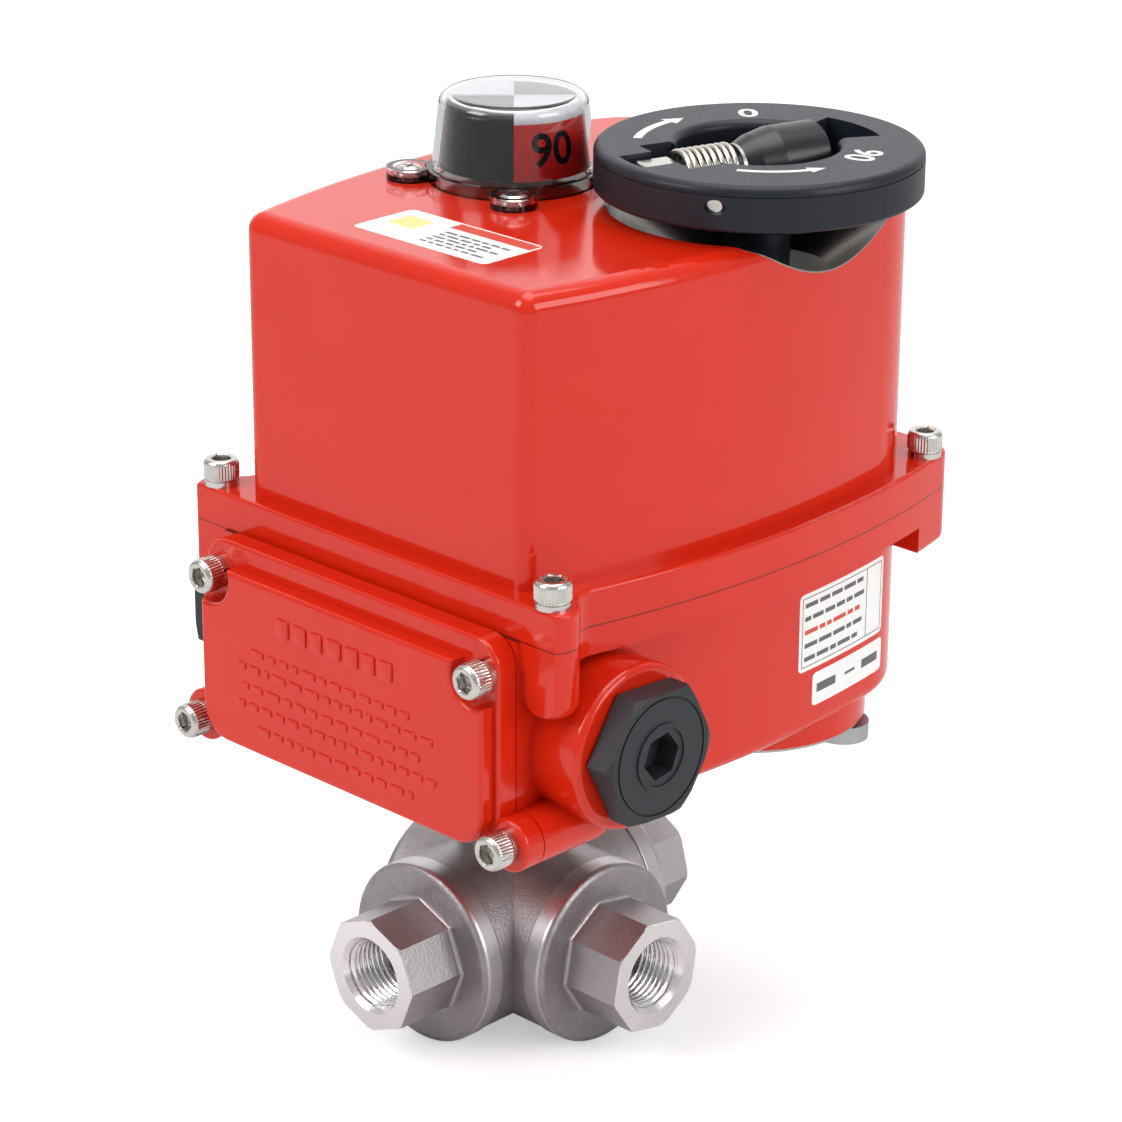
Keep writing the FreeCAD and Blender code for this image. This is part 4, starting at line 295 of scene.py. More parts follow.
# Electrical pieces and inner mouldings: plain plastics in the usual colours.
TERMINAL_PLASTIC = plain_material("ivory_terminal_strip", "#D9D5C6", "#CFCAB8", 0.5, 0.36, 0.46,
                                  bump_mm=0.006)
SWITCH_PLASTIC = plain_material("black_switch_body", "#202124", "#292A2D", 0.4, 0.4, 0.5, bump_mm=0.008)
CAPACITOR_PLASTIC = plain_material("white_capacitor_case", "#DCDDDF", "#D0D2D4", 0.6, 0.24, 0.34,
                                   bump_mm=0.003)
CAM_PLASTIC = plain_material("white_cam_plastic", "#DADADA", "#CECECD", 0.4, 0.32, 0.42, bump_mm=0.004)
SEAT_PLASTIC = plain_material("white_valve_seat", "#E4E2DC", "#DAD8D0", 0.4, 0.36, 0.46, bump_mm=0.004)
# Spring wire: polished steel that catches a light on every coil.
SPRING_STEEL = plain_material("bright_spring_wire", "#D8D3CA", "#BEB9B0", 0.3, 0.16, 0.28,
                              metallic=1.0, bump_mm=0.003)
# Stickers: white vinyl with a soft sheen, and flat inks.
LABEL_PAPER = plain_material("white_vinyl_label", "#F3F2F0", "#ECEBE9", 0.5, 0.30, 0.40, bump_mm=0.004)
LABEL_GREY = plain_material("grey_label_print", "#55565A", "#626367", 0.3, 0.40, 0.50)
LABEL_YELLOW = plain_material("pale_yellow_label_print", "#E8D98A", "#DFCF7C", 0.3, 0.34, 0.44)
LABEL_RED = plain_material("red_label_print", "#D5452F", "#CB3B27", 0.3, 0.34, 0.44)
# Ink of the pad print on the hand wheel: matt white.
WHITE_PRINT = plain_material("white_pad_print", "#E9E9E8", "#DCDCDB", 0.3, 0.42, 0.52)
# Rim under the round boss: bare cast metal, slightly rough.
BARE_PLATE = plain_material("bare_cast_plate", "#B5B2AE", "#A5A29F", 0.9, 0.34, 0.46,
                            metallic=1.0, bump_mm=0.02)


# Coloured quarters of the indicator drum: red on the side, white on the top and its rounded edge.
def sector_material():
    material, tree, shader, place = start("red_and_white_drum_quarter")
    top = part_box("indicator_red_sectors")[1].z / MM
    height = add(tree, "SeparateXYZ", {0: place}).outputs["Z"]
    white = span(tree, height, top - 2.45, top - 2.3)
    grain = noise(tree, place, 3.0, 2)
    red = blend(tree, grain, rgb("#DC1A12"), rgb("#CF150F"))
    put(tree, shader, Base_Color=blend(tree, white, red, rgb("#E6E4E6")),
        Roughness=span(tree, grain, 0.3, 0.7, 0.26, 0.36), Specular_IOR_Level=0.3)
    return material


DRUM_SECTOR = sector_material()


# Clear acrylic of the dome, with slight waviness from moulding.
def clear_material():
    material, tree, shader, place = start("clear_acrylic")
    wave = noise(tree, place, 12.0, 2)
    put(tree, shader, Base_Color=rgb("#F1F3F5"), Roughness=span(tree, wave, 0.3, 0.7, 0.0, 0.02), IOR=1.47,
        Transmission_Weight=1.0, Specular_IOR_Level=0.12, Normal=bump(tree, wave, 0.02))
    return material


CLEAR_ACRYLIC = clear_material()

# ---------------------------------------------------------------------------
# Material of the valve
# Investment-cast stainless, bead blasted; the port faces, mouths and bores are turned bright.
# ---------------------------------------------------------------------------
PORT_FACE = abs(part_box("end_cap_front")[0].y) / MM
BORE_FROM = 20.0             # the turned bore, along a port's axis and its radius
BORE_RADIUS = 12.2
DISC_FROM = 31.2             # the turned edge of a cap's disc
DISC_RADIUS = 27.3
PORT_FROM = 38.0             # the octagon of a port
PORT_RADIUS = 18.0


def valve_material():
    """Cast stainless; along and radius are measured on whichever port axis is nearer."""
    material, tree, shader, place = start("cast_stainless_with_turned_ports")
    size = add(tree, "VectorMath", {0: place}, operation="ABSOLUTE").outputs[0]
    parts = add(tree, "SeparateXYZ", {0: size}).outputs
    along = calc(tree, "MAXIMUM", parts["X"], parts["Y"])
    across = calc(tree, "MINIMUM", parts["X"], parts["Y"])
    radius = calc(tree, "SQRT", calc(tree, "ADD", calc(tree, "MULTIPLY", across, across),
                                     calc(tree, "MULTIPLY", parts["Z"], parts["Z"])))

    def beyond(value, limit):
        return calc(tree, "GREATER_THAN", value, limit)

    def within(value, limit):
        return calc(tree, "LESS_THAN", value, limit)

    face = beyond(along, PORT_FACE - 0.35)
    bore = calc(tree, "MULTIPLY", beyond(along, BORE_FROM), within(radius, BORE_RADIUS))
    closed_arm = within(add(tree, "SeparateXYZ", {0: place}).outputs["X"], -BORE_FROM)
    bore = calc(tree, "MULTIPLY", bore, calc(tree, "SUBTRACT", 1.0, closed_arm))
    bright = calc(tree, "MAXIMUM", face, bore)
    disc = calc(tree, "MULTIPLY", beyond(radius, DISC_RADIUS), beyond(along, DISC_FROM))
    port = calc(tree, "MULTIPLY", within(radius, PORT_RADIUS), beyond(along, PORT_FROM))
    wide = noise(tree, place, 16.0, 3)
    stain = noise(tree, place, 5.0, 4, 0.6)
    pit = noise(tree, place, 0.9, 3, 0.6)
    sand = noise(tree, place, 0.42, 2)
    outward = add(tree, "CombineXYZ", {"X": radius}).outputs[0]
    rings = {"Vector": outward, "Scale": 1.4, "Distortion": 0.4, "Detail": 1.0}
    rings = add(tree, "TexWave", rings).outputs["Fac"]
    cast = blend(tree, wide, rgb("#B2ADAF"), rgb("#9C9799"))
    cast = blend(tree, span(tree, stain, 0.35, 0.75, 0.0, 0.45), cast, rgb("#8A8587"))
    cast = blend(tree, span(tree, sand, 0.35, 0.65, 0.22, 0.0), cast, rgb("#6F6B6D"))
    colour = blend(tree, calc(tree, "MULTIPLY", port, 0.5), cast, rgb("#C4C0C3"))
    colour = blend(tree, disc, colour, rgb("#BDB9BC"))
    colour = blend(tree, bright, colour, rgb("#EDEBEC"))
    rough = span(tree, pit, 0.3, 0.7, 0.38, 0.50)
    rough = calc(tree, "SUBTRACT", rough, calc(tree, "MULTIPLY", disc, 0.10))
    rough = calc(tree, "SUBTRACT", rough, calc(tree, "MULTIPLY", bright, 0.20))
    dull = calc(tree, "SUBTRACT", 1.0, calc(tree, "MAXIMUM", bright, disc))
    normal = bump(tree, calc(tree, "MULTIPLY", pit, dull), 0.12)
    normal = bump(tree, calc(tree, "MULTIPLY", sand, dull), 0.06, normal)
    normal = bump(tree, calc(tree, "MULTIPLY", rings, bright), 0.006, normal)
    put(tree, shader, Base_Color=colour, Roughness=rough, Metallic=1.0, Normal=normal)
    return material


VALVE_STEEL = valve_material()

# ---------------------------------------------------------------------------
# Finish of every CAD node
# ---------------------------------------------------------------------------
FINISH = {
    RED_ENAMEL: ["housing"],
    RED_PANEL: ["terminal_cover"],
    RED_ENAMEL_DISH: ["cover"],
    SCREW_STEEL: ["cover_screws", "cover_spring_washers", "terminal_cover_screws", "terminal_cover_washers",
                  "dome_screws", "dome_washers", "crank_pin", "crank_arm", "mounting_bolts",
                  "gear_plate_screws", "motor_screws"],
    PLUG_NYLON: ["conduit_plugs"],
    RUBBER: ["cover_gasket", "terminal_cover_gasket", "conduit_gaskets"],
    WHEEL_PLASTIC: ["handwheel"],
    GRIP_PLASTIC: ["crank_grip"],
    DRUM_BLACK: ["indicator_drum"],
    DRUM_SECTOR: ["indicator_red_sectors"],
    CLEAR_ACRYLIC: ["indicator_dome"],
    VALVE_STEEL: ["valve_body", "end_cap_front", "end_cap_branch", "end_cap_rear"],
    BARE_PLATE: ["boss_plate"],
    GEAR_STEEL: ["output_shaft", "output_gear", "indicator_shaft", "intermediate_gear", "intermediate_axle",
                 "motor_shaft", "motor_pinion", "handwheel_shaft", "handwheel_pinion", "valve_stem",
                 "valve_ball", "gland_nut", "declutch_shaft", "declutch_cam"],
    PLATE_STEEL: ["gear_plate", "switch_bracket", "capacitor_clip", "declutch_lever", "grip_sleeve"],
    BRONZE: ["shaft_bushes"],
    MOTOR_METAL: ["motor_gearhead", "motor_can", "heater"],
    TERMINAL_PLASTIC: ["terminal_block"],
    SWITCH_PLASTIC: ["limit_switches"],
    CAPACITOR_PLASTIC: ["motor_capacitor"],
    CAM_PLASTIC: ["switch_cams"],
    SEAT_PLASTIC: ["ball_seats", "stem_packing"],
    SPRING_STEEL: ["crank_spring"],
}
for material, names in FINISH.items():
    for name in names:
        data = NODES[name].data
        data.materials.clear()
        data.materials.append(material)

# ---------------------------------------------------------------------------
# Screws of the cover and of the terminal cover
# M6 socket-head screws, cold headed, with a knurled side, a bevelled top and a hexagon socket. They
# stand on spring washers.
# ---------------------------------------------------------------------------
TURN = 2 * math.pi
SCREW_HEAD = 6.0             # height of an M6 head
HEAD_POINTS = 144            # points round a head
KNURLS = 36                  # grooves round its side


def solids(node):
    """Lowest and highest corner of each separate solid of a CAD node."""
    work = bmesh.new()
    work.from_mesh(NODES[node].data)
    bmesh.ops.remove_doubles(work, verts=work.verts, dist=1e-6)
    left = set(work.verts)
    found = []
    while left:
        queue = [left.pop()]
        group = list(queue)
        while queue:
            for edge in queue.pop().link_edges:
                for other in edge.verts:
                    if other in left:
                        left.remove(other)
                        queue.append(other)
                        group.append(other)
        corners = [Vector(pick(v.co[i] for v in group) for i in range(3)) for pick in (min, max)]
        found.append(corners)
    work.free()
    return sorted(found, key=lambda c: tuple(round(x, 4) for x in c[0]))


def make(name, points, faces, material, body, smooth=math.radians(35)):
    """A mesh piece from points in millimetres in the CAD frame, riding on a body."""
    data = bpy.data.meshes.new(name)
    data.from_pydata([Vector(p) * MM for p in points], [], faces)
    data.validate()
    work = bmesh.new()
    work.from_mesh(data)
    bmesh.ops.recalc_face_normals(work, faces=work.faces)
    work.to_mesh(data)
    work.free()
    piece = bpy.data.objects.new(name, data)
    bpy.context.scene.collection.objects.link(piece)
    data.materials.append(material)
    data.shade_smooth()
    data.set_sharp_from_angle(angle=smooth)
    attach(piece, body)
    return piece


def stack(rings, points, faces, capped=True):
    """Skins a list of closed rings, each a list of as many points, and closes the two ends."""
    first = len(points)
    count = len(rings[0])
    for loop in rings:
        points.extend(loop)
    for k in range(len(rings) - 1):
        low = first + k * count
        for i in range(count):
            j = (i + 1) % count
            faces.append((low + i, low + j, low + count + j, low + count + i))
    if capped:
        faces.append(tuple(first + i for i in range(count)))
        faces.append(tuple(first + (len(rings) - 1) * count + i for i in range(count)))


def socket_screw(points, faces, seat, axis, shank, turn):
    """One socket-head screw; seat is the middle of its head's underside, in millimetres."""
    side = UP.cross(axis)
    side = side.normalized() if side.length > 0.1 else RIGHT
    other = axis.cross(side)

    def knurled(radius, depth):
        return lambda a: radius - depth * (0.5 - 0.5 * math.cos(KNURLS * a))

    def hexagonal(flats):
        def radius(a):
            return flats / 2 / math.cos((a + turn) % (TURN / 6) - TURN / 12)
        return radius

    # Height over the head's underside and radius: up the shank, over the head and down the socket.
    profile = [
        (-shank, lambda a: 2.6), (-shank + 0.5, lambda a: 3.0), (0.0, lambda a: 3.0),
        (0.0, lambda a: 4.55), (0.25, lambda a: 4.8), (0.55, knurled(4.85, 0.0)),
        (0.75, knurled(4.97, 0.28)), (4.55, knurled(4.97, 0.28)), (4.85, knurled(4.85, 0.05)),
        (5.5, lambda a: 4.55), (5.85, lambda a: 4.15), (SCREW_HEAD, lambda a: 3.7),
        (SCREW_HEAD, lambda a: 3.15), (5.75, hexagonal(5.15)), (5.45, hexagonal(5.0)),
        (2.9, hexagonal(5.0)), (2.5, lambda a: 1.4), (2.3, lambda a: 0.05),
    ]
    rings = []
    for height, radius in profile:
        loop = []
        for i in range(HEAD_POINTS):
            a = TURN * i / HEAD_POINTS
            loop.append(seat + axis * height + (side * math.cos(a) + other * math.sin(a)) * radius(a))
        rings.append(loop)
    stack(rings, points, faces)


points, faces = [], []
for number, (low, high) in enumerate(solids("cover_screws")):
    middle = (low + high) / 2 / MM
    seat = Vector((middle.x, middle.y, high.z / MM - SCREW_HEAD))
    socket_screw(points, faces, seat, UP, (high.z - low.z) / MM - SCREW_HEAD, 0.3 + 0.4 * number)
screws = make("cover_screws_knurled", points, faces, SCREW_STEEL, "casing")
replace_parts(screws, "cover_screws")

points, faces = [], []
for number, (low, high) in enumerate(solids("terminal_cover_screws")):
    middle = (low + high) / 2 / MM
    seat = Vector((middle.x, low.y / MM + SCREW_HEAD, middle.z))
    shank = (high.y - low.y) / MM - SCREW_HEAD
    socket_screw(points, faces, seat, FRONT, shank, 0.2 + 0.5 * number)
screws = make("terminal_screws_knurled", points, faces, SCREW_STEEL, "casing")
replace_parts(screws, "terminal_cover_screws")

# ---------------------------------------------------------------------------
# Spring of the folding crank
# A compression spring of bright wire with closed ends, on the crank's rod between the square eye and
# the sleeve.
# ---------------------------------------------------------------------------
GRIP_AXIS = Vector(JOINTS["grip_spin"]["axis"]).normalized()
PIVOT = Vector(JOINTS["crank_fold"]["pos_m"]) / MM
WIRE = 0.78                  # radius of the wire, and how many points go round it
WIRE_POINTS = 12
COIL = 6.6                   # radius of the coil, to the middle of the wire
SPRING_START = 6.6           # from the crank's pivot, along its rod
SPRING_LONG = 17.6
TURNS = 8.0
CLOSED_TURN = 2 * WIRE + 0.15
side = GRIP_AXIS.cross(UP).normalized()
over = side.cross(GRIP_AXIS)
steps = 40
rise = (SPRING_LONG - 2 * WIRE - 2 * CLOSED_TURN) / (TURNS - 2)
rings = []
for k in range(int(TURNS * steps) + 1):
    turns = k / steps
    ends = min(turns, 1) + max(0, turns - (TURNS - 1))
    far = CLOSED_TURN * ends + rise * min(max(turns - 1, 0), TURNS - 2)
    angle = TURN * turns
    out = side * math.cos(angle) + over * math.sin(angle)
    middle = PIVOT + GRIP_AXIS * (SPRING_START + WIRE + far) + out * COIL
    loop = []
    for i in range(WIRE_POINTS):
        a = TURN * i / WIRE_POINTS
        loop.append(middle + (out * math.cos(a) + GRIP_AXIS * math.sin(a)) * WIRE)
    rings.append(loop)
points, faces = [], []
stack(rings, points, faces)
spring = make("crank_spring_coil", points, faces, SPRING_STEEL, "crank")
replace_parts(spring, "crank_spring")
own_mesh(spring)

# ---------------------------------------------------------------------------
# Threads of the three ports
# G 1/2 inside threads, cut in the bore behind the countersunk mouth.
# ---------------------------------------------------------------------------
THREAD_WALL = 10.38          # radius of the bore and of the crests
THREAD_CREST = 9.4
THREAD_PITCH = 1.814
THREAD_LONG = 13.4
MOUTH = 1.4                  # depth of the countersink


def port_thread(name, axis):
    """The inside thread of one port: a sleeve of rings, ten to each pitch."""
    points, faces = [], []
    side = axis.cross(UP).normalized()
    over = side.cross(axis)
    around = 72
    per_pitch = 10
    levels = int(THREAD_LONG / THREAD_PITCH * per_pitch)

    def loop(depth, radius):
        ring = []
        for i in range(around):
            a = TURN * i / around
            ring.append(axis * (PORT_FACE - depth) + (side * math.cos(a) + over * math.sin(a)) * radius(a))
        return ring

    rings = [loop(MOUTH, lambda a: THREAD_WALL)]
    for k in range(levels + 1):
        depth = MOUTH + THREAD_LONG * k / levels

        def ridge(a):
            phase = (depth / THREAD_PITCH + a / TURN) % 1.0
            rise = 1 - abs(2 * phase - 1)
            fade = min(1.0, (depth - MOUTH) / 1.2)
            share = fade * min(1.0, max(0.0, rise * 1.35 - 0.12))
            return THREAD_WALL - 0.06 - (THREAD_WALL - THREAD_CREST) * share

        rings.append(loop(depth, ridge))
    rings.append(loop(MOUTH + THREAD_LONG, lambda a: THREAD_WALL))
    rings.append(rings[0])
    stack(rings, points, faces, capped=False)
    return make(name, points, faces, VALVE_STEEL, "casing", math.radians(50))


port_thread("port_thread_front", FRONT)
port_thread("port_thread_rear", REAR)
port_thread("port_thread_branch", RIGHT)

# ---------------------------------------------------------------------------
# Labels
# Printed vinyl stickers pressed on the casing, with rounded corners. Their print is a plain bar,
# frame lines and rows of short dashes.
# ---------------------------------------------------------------------------
RIGHT_WALL = Vector((-1, 0, 0))        # ways that a label is pressed on
ON_COVER = Vector((0, 0, -1))


def surface(node):
    """The surface of a CAD node, for rays to meet."""
    work = bmesh.new()
    work.from_mesh(NODES[node].data)
    tree = BVHTree.FromBMesh(work)
    work.free()
    return tree


def patch(points, faces, onto, toward, start, u_axis, v_axis, box, corner, lift, thick, cell=1.0):
    """A thin rounded sheet pressed on a surface. box is u0, u1, v0, v1 in mm from start."""
    u0, u1, v0, v1 = box
    across = max(2, int(round((u1 - u0) / cell)))
    high = max(2, int(round((v1 - v0) / cell)))
    grid = {}
    for level in (0, 1):
        for i in range(across + 1):
            for j in range(high + 1):
                u = u0 + (u1 - u0) * i / across
                v = v0 + (v1 - v0) * j / high
                cu = min(max(u, u0 + corner), u1 - corner)
                cv = min(max(v, v0 + corner), v1 - corner)
                far = math.hypot(u - cu, v - cv)
                if far > corner > 0:
                    u = cu + (u - cu) * corner / far
                    v = cv + (v - cv) * corner / far
                place = start + u_axis * u + v_axis * v
                hit, normal, _, _ = onto.ray_cast((place - toward * 60) * MM, toward)
                hit = hit / MM
                if normal.dot(toward) > 0:
                    normal = -normal
                grid[level, i, j] = len(points)
                points.append(hit + normal * (lift + thick * level))
    for i in range(across):
        for j in range(high):
            quad = ((i, j), (i + 1, j), (i + 1, j + 1), (i, j + 1))
            faces.append(tuple(grid[(1, *q)] for q in quad))
            faces.append(tuple(grid[(0, *q)] for q in reversed(quad)))
    edge = [(i, 0) for i in range(across)] + [(across, j) for j in range(high)]
    edge += [(i, high) for i in range(across, 0, -1)] + [(0, j) for j in range(high, 0, -1)]
    for k, spot in enumerate(edge):
        follow = edge[(k + 1) % len(edge)]
        faces.append((grid[(0, *spot)], grid[(0, *follow)], grid[(1, *follow)], grid[(1, *spot)]))


def dashes(seed, u0, u1, v, high, short, long, gap):
    """Boxes of one row of dashes of uneven length."""
    draw = random.Random(seed)
    boxes = []
    u = u0
    while u < u1 - short:
        width = min(draw.uniform(short, long), u1 - u)
        boxes.append((u, u + width, v - high / 2, v + high / 2))
        u += width + gap
    return boxes


def sticker(name, onto, toward, start, u_axis, v_axis, box, corner, prints):
    """One label and its print; prints is a list of (material, slot, boxes), and the slot is not used."""
    points, faces = [], []
    patch(points, faces, onto, toward, start, u_axis, v_axis, box, corner, 0.01, 0.09)
    make(name, points, faces, LABEL_PAPER, "casing")
    for number, (material, slot, boxes) in enumerate(prints):
        points, faces = [], []
        for mark in boxes:
            patch(points, faces, onto, toward, start, u_axis, v_axis, mark, 0.0, 0.10, 0.05, 1.0)
        make(f"{name}_print_{number}", points, faces, material, "casing")


cover_surface = surface("cover")
rows = []
for k in range(5):
    rows += dashes(k, 22.0, 46.0 - 3 * (k % 2), 13.6 - 2.4 * k, 1.0, 1.6, 4.6, 0.9)
bar = (19.8, 49.3, 17.2, 21.6)
field = (4.0, 13.5, 9.0, 17.5)
# This start is divided by MM once too often, so it is far above the cover. The rays still fall on the
# cover, and the label lies within 0.04 mm of where it would lie otherwise.
sticker("cover_label", cover_surface, ON_COVER, Vector((3.0, -63.7, COVER_TOP / MM)), RIGHT, REAR,
        (0, 50.0, 0, 22.4), 2.0,
        [(LABEL_RED, "drum_red", [bar]), (LABEL_YELLOW, "cam_plastic", [field]),
         (LABEL_GREY, "drum_black", rows)])

wall_surface = surface("housing")
WALL_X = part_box("housing")[1].x / MM
PRINT_LINE = 0.25            # width of a printed line
first, last, foot, top = 1.2, 40.0, 1.2, 22.0
divider = 32.0
frame_lines = [(first, last, foot, foot + PRINT_LINE), (first, last, top - PRINT_LINE, top),
               (first, first + PRINT_LINE, foot, top), (last - PRINT_LINE, last, foot, top),
               (divider, divider + PRINT_LINE, foot, top)]
rows = []
for k in (0, 1, 3, 4):
    rows += dashes(20 + k, 2.4, 30.6, 19.6 - 4.0 * k, 1.3, 2.0, 6.0, 0.9)
red_row = dashes(22, 2.4, 30.6, 11.6, 1.3, 2.0, 6.0, 0.9)
sticker("manual_label_upper", wall_surface, RIGHT_WALL, Vector((WALL_X, 20.3, 98.0)), REAR, UP,
        (0, 41.2, 0, 23.2), 1.6,
        [(LABEL_GREY, "drum_black", frame_lines + rows), (LABEL_RED, "drum_red", red_row)])
rows = dashes(40, 2.0, 12.0, 5.0, 2.6, 8.0, 10.0, 1.0) + dashes(41, 24.0, 33.0, 5.0, 2.6, 8.0, 9.0, 1.0)
sticker("manual_label_lower", wall_surface, RIGHT_WALL, Vector((WALL_X, 26.9, 86.3)), REAR, UP,
        (0, 35.0, 0, 9.9), 1.4,
        [(LABEL_GREY, "drum_black", rows + [(15.5, 20.5, 4.6, 5.4)])])

# ---------------------------------------------------------------------------
# Raised marks of the terminal cover
# Plain ribs cast with the cover's panel and painted with it.
# ---------------------------------------------------------------------------
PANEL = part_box("terminal_cover")[0].y / MM
# First x, last x and height of each lower row.
PANEL_ROWS = ((-8.0, 58.0, 109.0), (-13.5, 63.6, 104.0), (-11.6, 61.7, 98.3), (-14.0, 64.7, 92.8),
              (-6.0, 56.0, 86.6))


def rib(points, faces, x0, x1, z0, z1, high):
    """A raised bar with small round corners and rounded edges."""
    corner = 0.8
    count = 4
    rings = []
    for rise, inset in ((-0.2, 0.0), (high * 0.55, 0.05), (high * 0.9, 0.20), (high, 0.45)):
        r = corner - inset * 0.9
        loop = []
        for x, z, first in ((x1 - corner, z1 - corner, 0.0), (x0 + corner, z1 - corner, 0.25),
                            (x0 + corner, z0 + corner, 0.5), (x1 - corner, z0 + corner, 0.75)):
            for i in range(count + 1):
                a = TURN * (first + 0.25 * i / count)
                loop.append(Vector((x + r * math.cos(a), PANEL - rise, z + r * math.sin(a))))
        rings.append(loop)
    stack(rings, points, faces)


points, faces = [], []
for mark in dashes(60, 3.0, 48.5, 119.5, 5.6, 4.2, 6.4, 1.5):
    rib(points, faces, *mark, 0.6)
for k, (x0, x1, z) in enumerate(PANEL_ROWS):
    for mark in dashes(70 + k, x0, x1, z, 2.3, 2.4, 5.6, 1.3):
        rib(points, faces, *mark, 0.45)
make("terminal_cover_ribs", points, faces, RED_PANEL, "casing", math.radians(60))

# ---------------------------------------------------------------------------
# Print on the hand wheel
# White pad-printed turning arrows and plain numbers on the flat top.
# ---------------------------------------------------------------------------
WHEEL_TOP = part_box("handwheel")[1].z / MM
INK = 0.04                   # thickness of the print
WHEEL_DIGIT = 11.5           # height of its numbers


def turning_arrow(name, tail, head, width, tip):
    """A curved arrow round the wheel's axis from tail to head, each a (radius, degrees)."""
    points, faces = [], []
    steps = 20
    share = 1 - tip / (abs(head[1] - tail[1]) * math.pi / 180 * head[0])

    def spot(s, off):
        angle = math.radians(tail[1] + (head[1] - tail[1]) * s)
        radius = tail[0] + (head[0] - tail[0]) * s + off
        x = WHEEL_AXIS.x + radius * math.cos(angle)
        return Vector((x, WHEEL_AXIS.y + radius * math.sin(angle), WHEEL_TOP))

    for k in range(steps + 1):
        s = share * k / steps
        for rise in (0.0, INK):
            points.append(spot(s, -width / 2) + UP * rise)
            points.append(spot(s, width / 2) + UP * rise)
    for k in range(steps):
        a = 4 * k
        faces.extend([(a + 2, a + 3, a + 7, a + 6), (a, a + 4, a + 5, a + 1), (a, a + 2, a + 6, a + 4),
                      (a + 1, a + 5, a + 7, a + 3)])
    end = 4 * steps
    faces.extend([(0, 1, 3, 2), (end, end + 2, end + 3, end + 1)])
    base = len(points)
    for rise in (0.0, INK):
        for corner in (spot(share, -width * 1.25), spot(share, width * 1.25), spot(1.0, 0.0)):
            points.append(corner + UP * rise)
    faces.extend([(base, base + 2, base + 1), (base + 3, base + 4, base + 5),
                  (base, base + 1, base + 4, base + 3), (base + 1, base + 2, base + 5, base + 4),
                  (base + 2, base, base + 3, base + 5)])
    make(name, points, faces, WHITE_PRINT, "hand_drive")


turning_arrow("wheel_arrow_left", (33.0, 217.0), (32.3, 171.7), 2.4, 5.6)
turning_arrow("wheel_arrow_right", (28.4, -60.5), (29.8, -12.6), 1.9, 5.0)


def number_mesh(name, text, size, heavy):
    """A flat printed number, as thick as the ink, centred on the origin, in metres."""
    curve = bpy.data.curves.new(name, "FONT")
    curve.body = text
    curve.size = size * MM
    curve.align_x = "CENTER"
    curve.align_y = "CENTER"
    curve.extrude = INK / 2 * MM
    curve.offset = heavy * MM
    piece = bpy.data.objects.new(name, curve)
    bpy.context.scene.collection.objects.link(piece)
    bpy.context.view_layer.update()
    data = bpy.data.meshes.new_from_object(piece)
    bpy.data.objects.remove(piece)
    return data


def lay_number(name, data, material, body):
    """Puts a number's mesh in the scene, riding on a body."""
    piece = bpy.data.objects.new(name, data)
    bpy.context.scene.collection.objects.link(piece)
    data.materials.clear()
    data.materials.append(material)
    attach(piece, body)
    return piece


def wheel_number(name, text, place, degrees):
    """A number on the wheel's top, turned by some degrees."""
    data = number_mesh(name, text, WHEEL_DIGIT, 0.22)
    data.transform(Matrix.Translation(place * MM) @ Matrix.Rotation(math.radians(degrees), 4, "Z"))
    lay_number(name, data, WHITE_PRINT, "hand_drive")


wheel_number("wheel_number_0", "0", Vector((41.0, 50.5, WHEEL_TOP + INK / 2)), 228)
wheel_number("wheel_number_90", "90", Vector((92.0, 39.0, WHEEL_TOP + INK / 2)), -72)

# ---------------------------------------------------------------------------
# Indicator drum, its coloured quarters and their print
# A moulded black cap that fills the dome, with two red and white quarters pressed on it, and a black
# number printed on the side of each. The side is a cone, so the print is bent round it.
# ---------------------------------------------------------------------------
DRUM_FOOT = 20.95            # radius of the quarters' outside, low and high
DRUM_CROWN = 18.9
DRUM_EDGE = 2.4              # radius of the rounded edge
DRUM_DIGIT = 12.5            # height of the numbers
QUARTER_SKIN = 0.5
DRUM_LOW, DRUM_HIGH = (corner.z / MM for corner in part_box("indicator_red_sectors"))


def drum_side(height):
    """Radius of the quarters' outside at a height."""
    return DRUM_FOOT + (DRUM_CROWN - DRUM_FOOT) * (height - DRUM_LOW) / (DRUM_HIGH - DRUM_LOW)


def drum_profile(inset, thick):
    """Section through a drum skin: up the outside, over the rounded edge to the middle, and back."""
    outline = []
    for depth in (inset, inset + thick):
        edge = DRUM_EDGE - depth
        top = DRUM_HIGH - depth
        wall = drum_side(top - edge) - depth
        line = [(drum_side(DRUM_LOW) - depth, DRUM_LOW)]
        for k in range(9):
            a = math.pi / 2 * k / 8
            line.append((wall - edge + edge * math.cos(a), top - edge + edge * math.sin(a)))
        line.append((0.02, top))
        outline.append(line)
    return outline[0] + outline[1][::-1]


def drum_piece(name, inset, thick, first, last, material):
    """The drum's skin swept round its axis, from the first to the last degree."""
    points, faces = [], []
    steps = max(8, int((last - first) / 3))
    rings = []
    for k in range(steps + 1):
        a = math.radians(first + (last - first) * k / steps)
        rings.append([Vector((r * math.cos(a), r * math.sin(a), z)) for r, z in drum_profile(inset, thick)])
    stack(rings, points, faces, capped=last - first < 359)
    return make(name, points, faces, material, "output", math.radians(40))


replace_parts(drum_piece("drum_cap", QUARTER_SKIN + 0.02, 1.6, 0, 360, DRUM_BLACK),
            "indicator_drum")
quarters = [drum_piece("drum_quarter_near", 0.0, QUARTER_SKIN, -45, 45, DRUM_SECTOR),
            drum_piece("drum_quarter_far", 0.0, QUARTER_SKIN, 135, 225, DRUM_SECTOR)]
for quarter in quarters:
    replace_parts(quarter, "indicator_red_sectors")


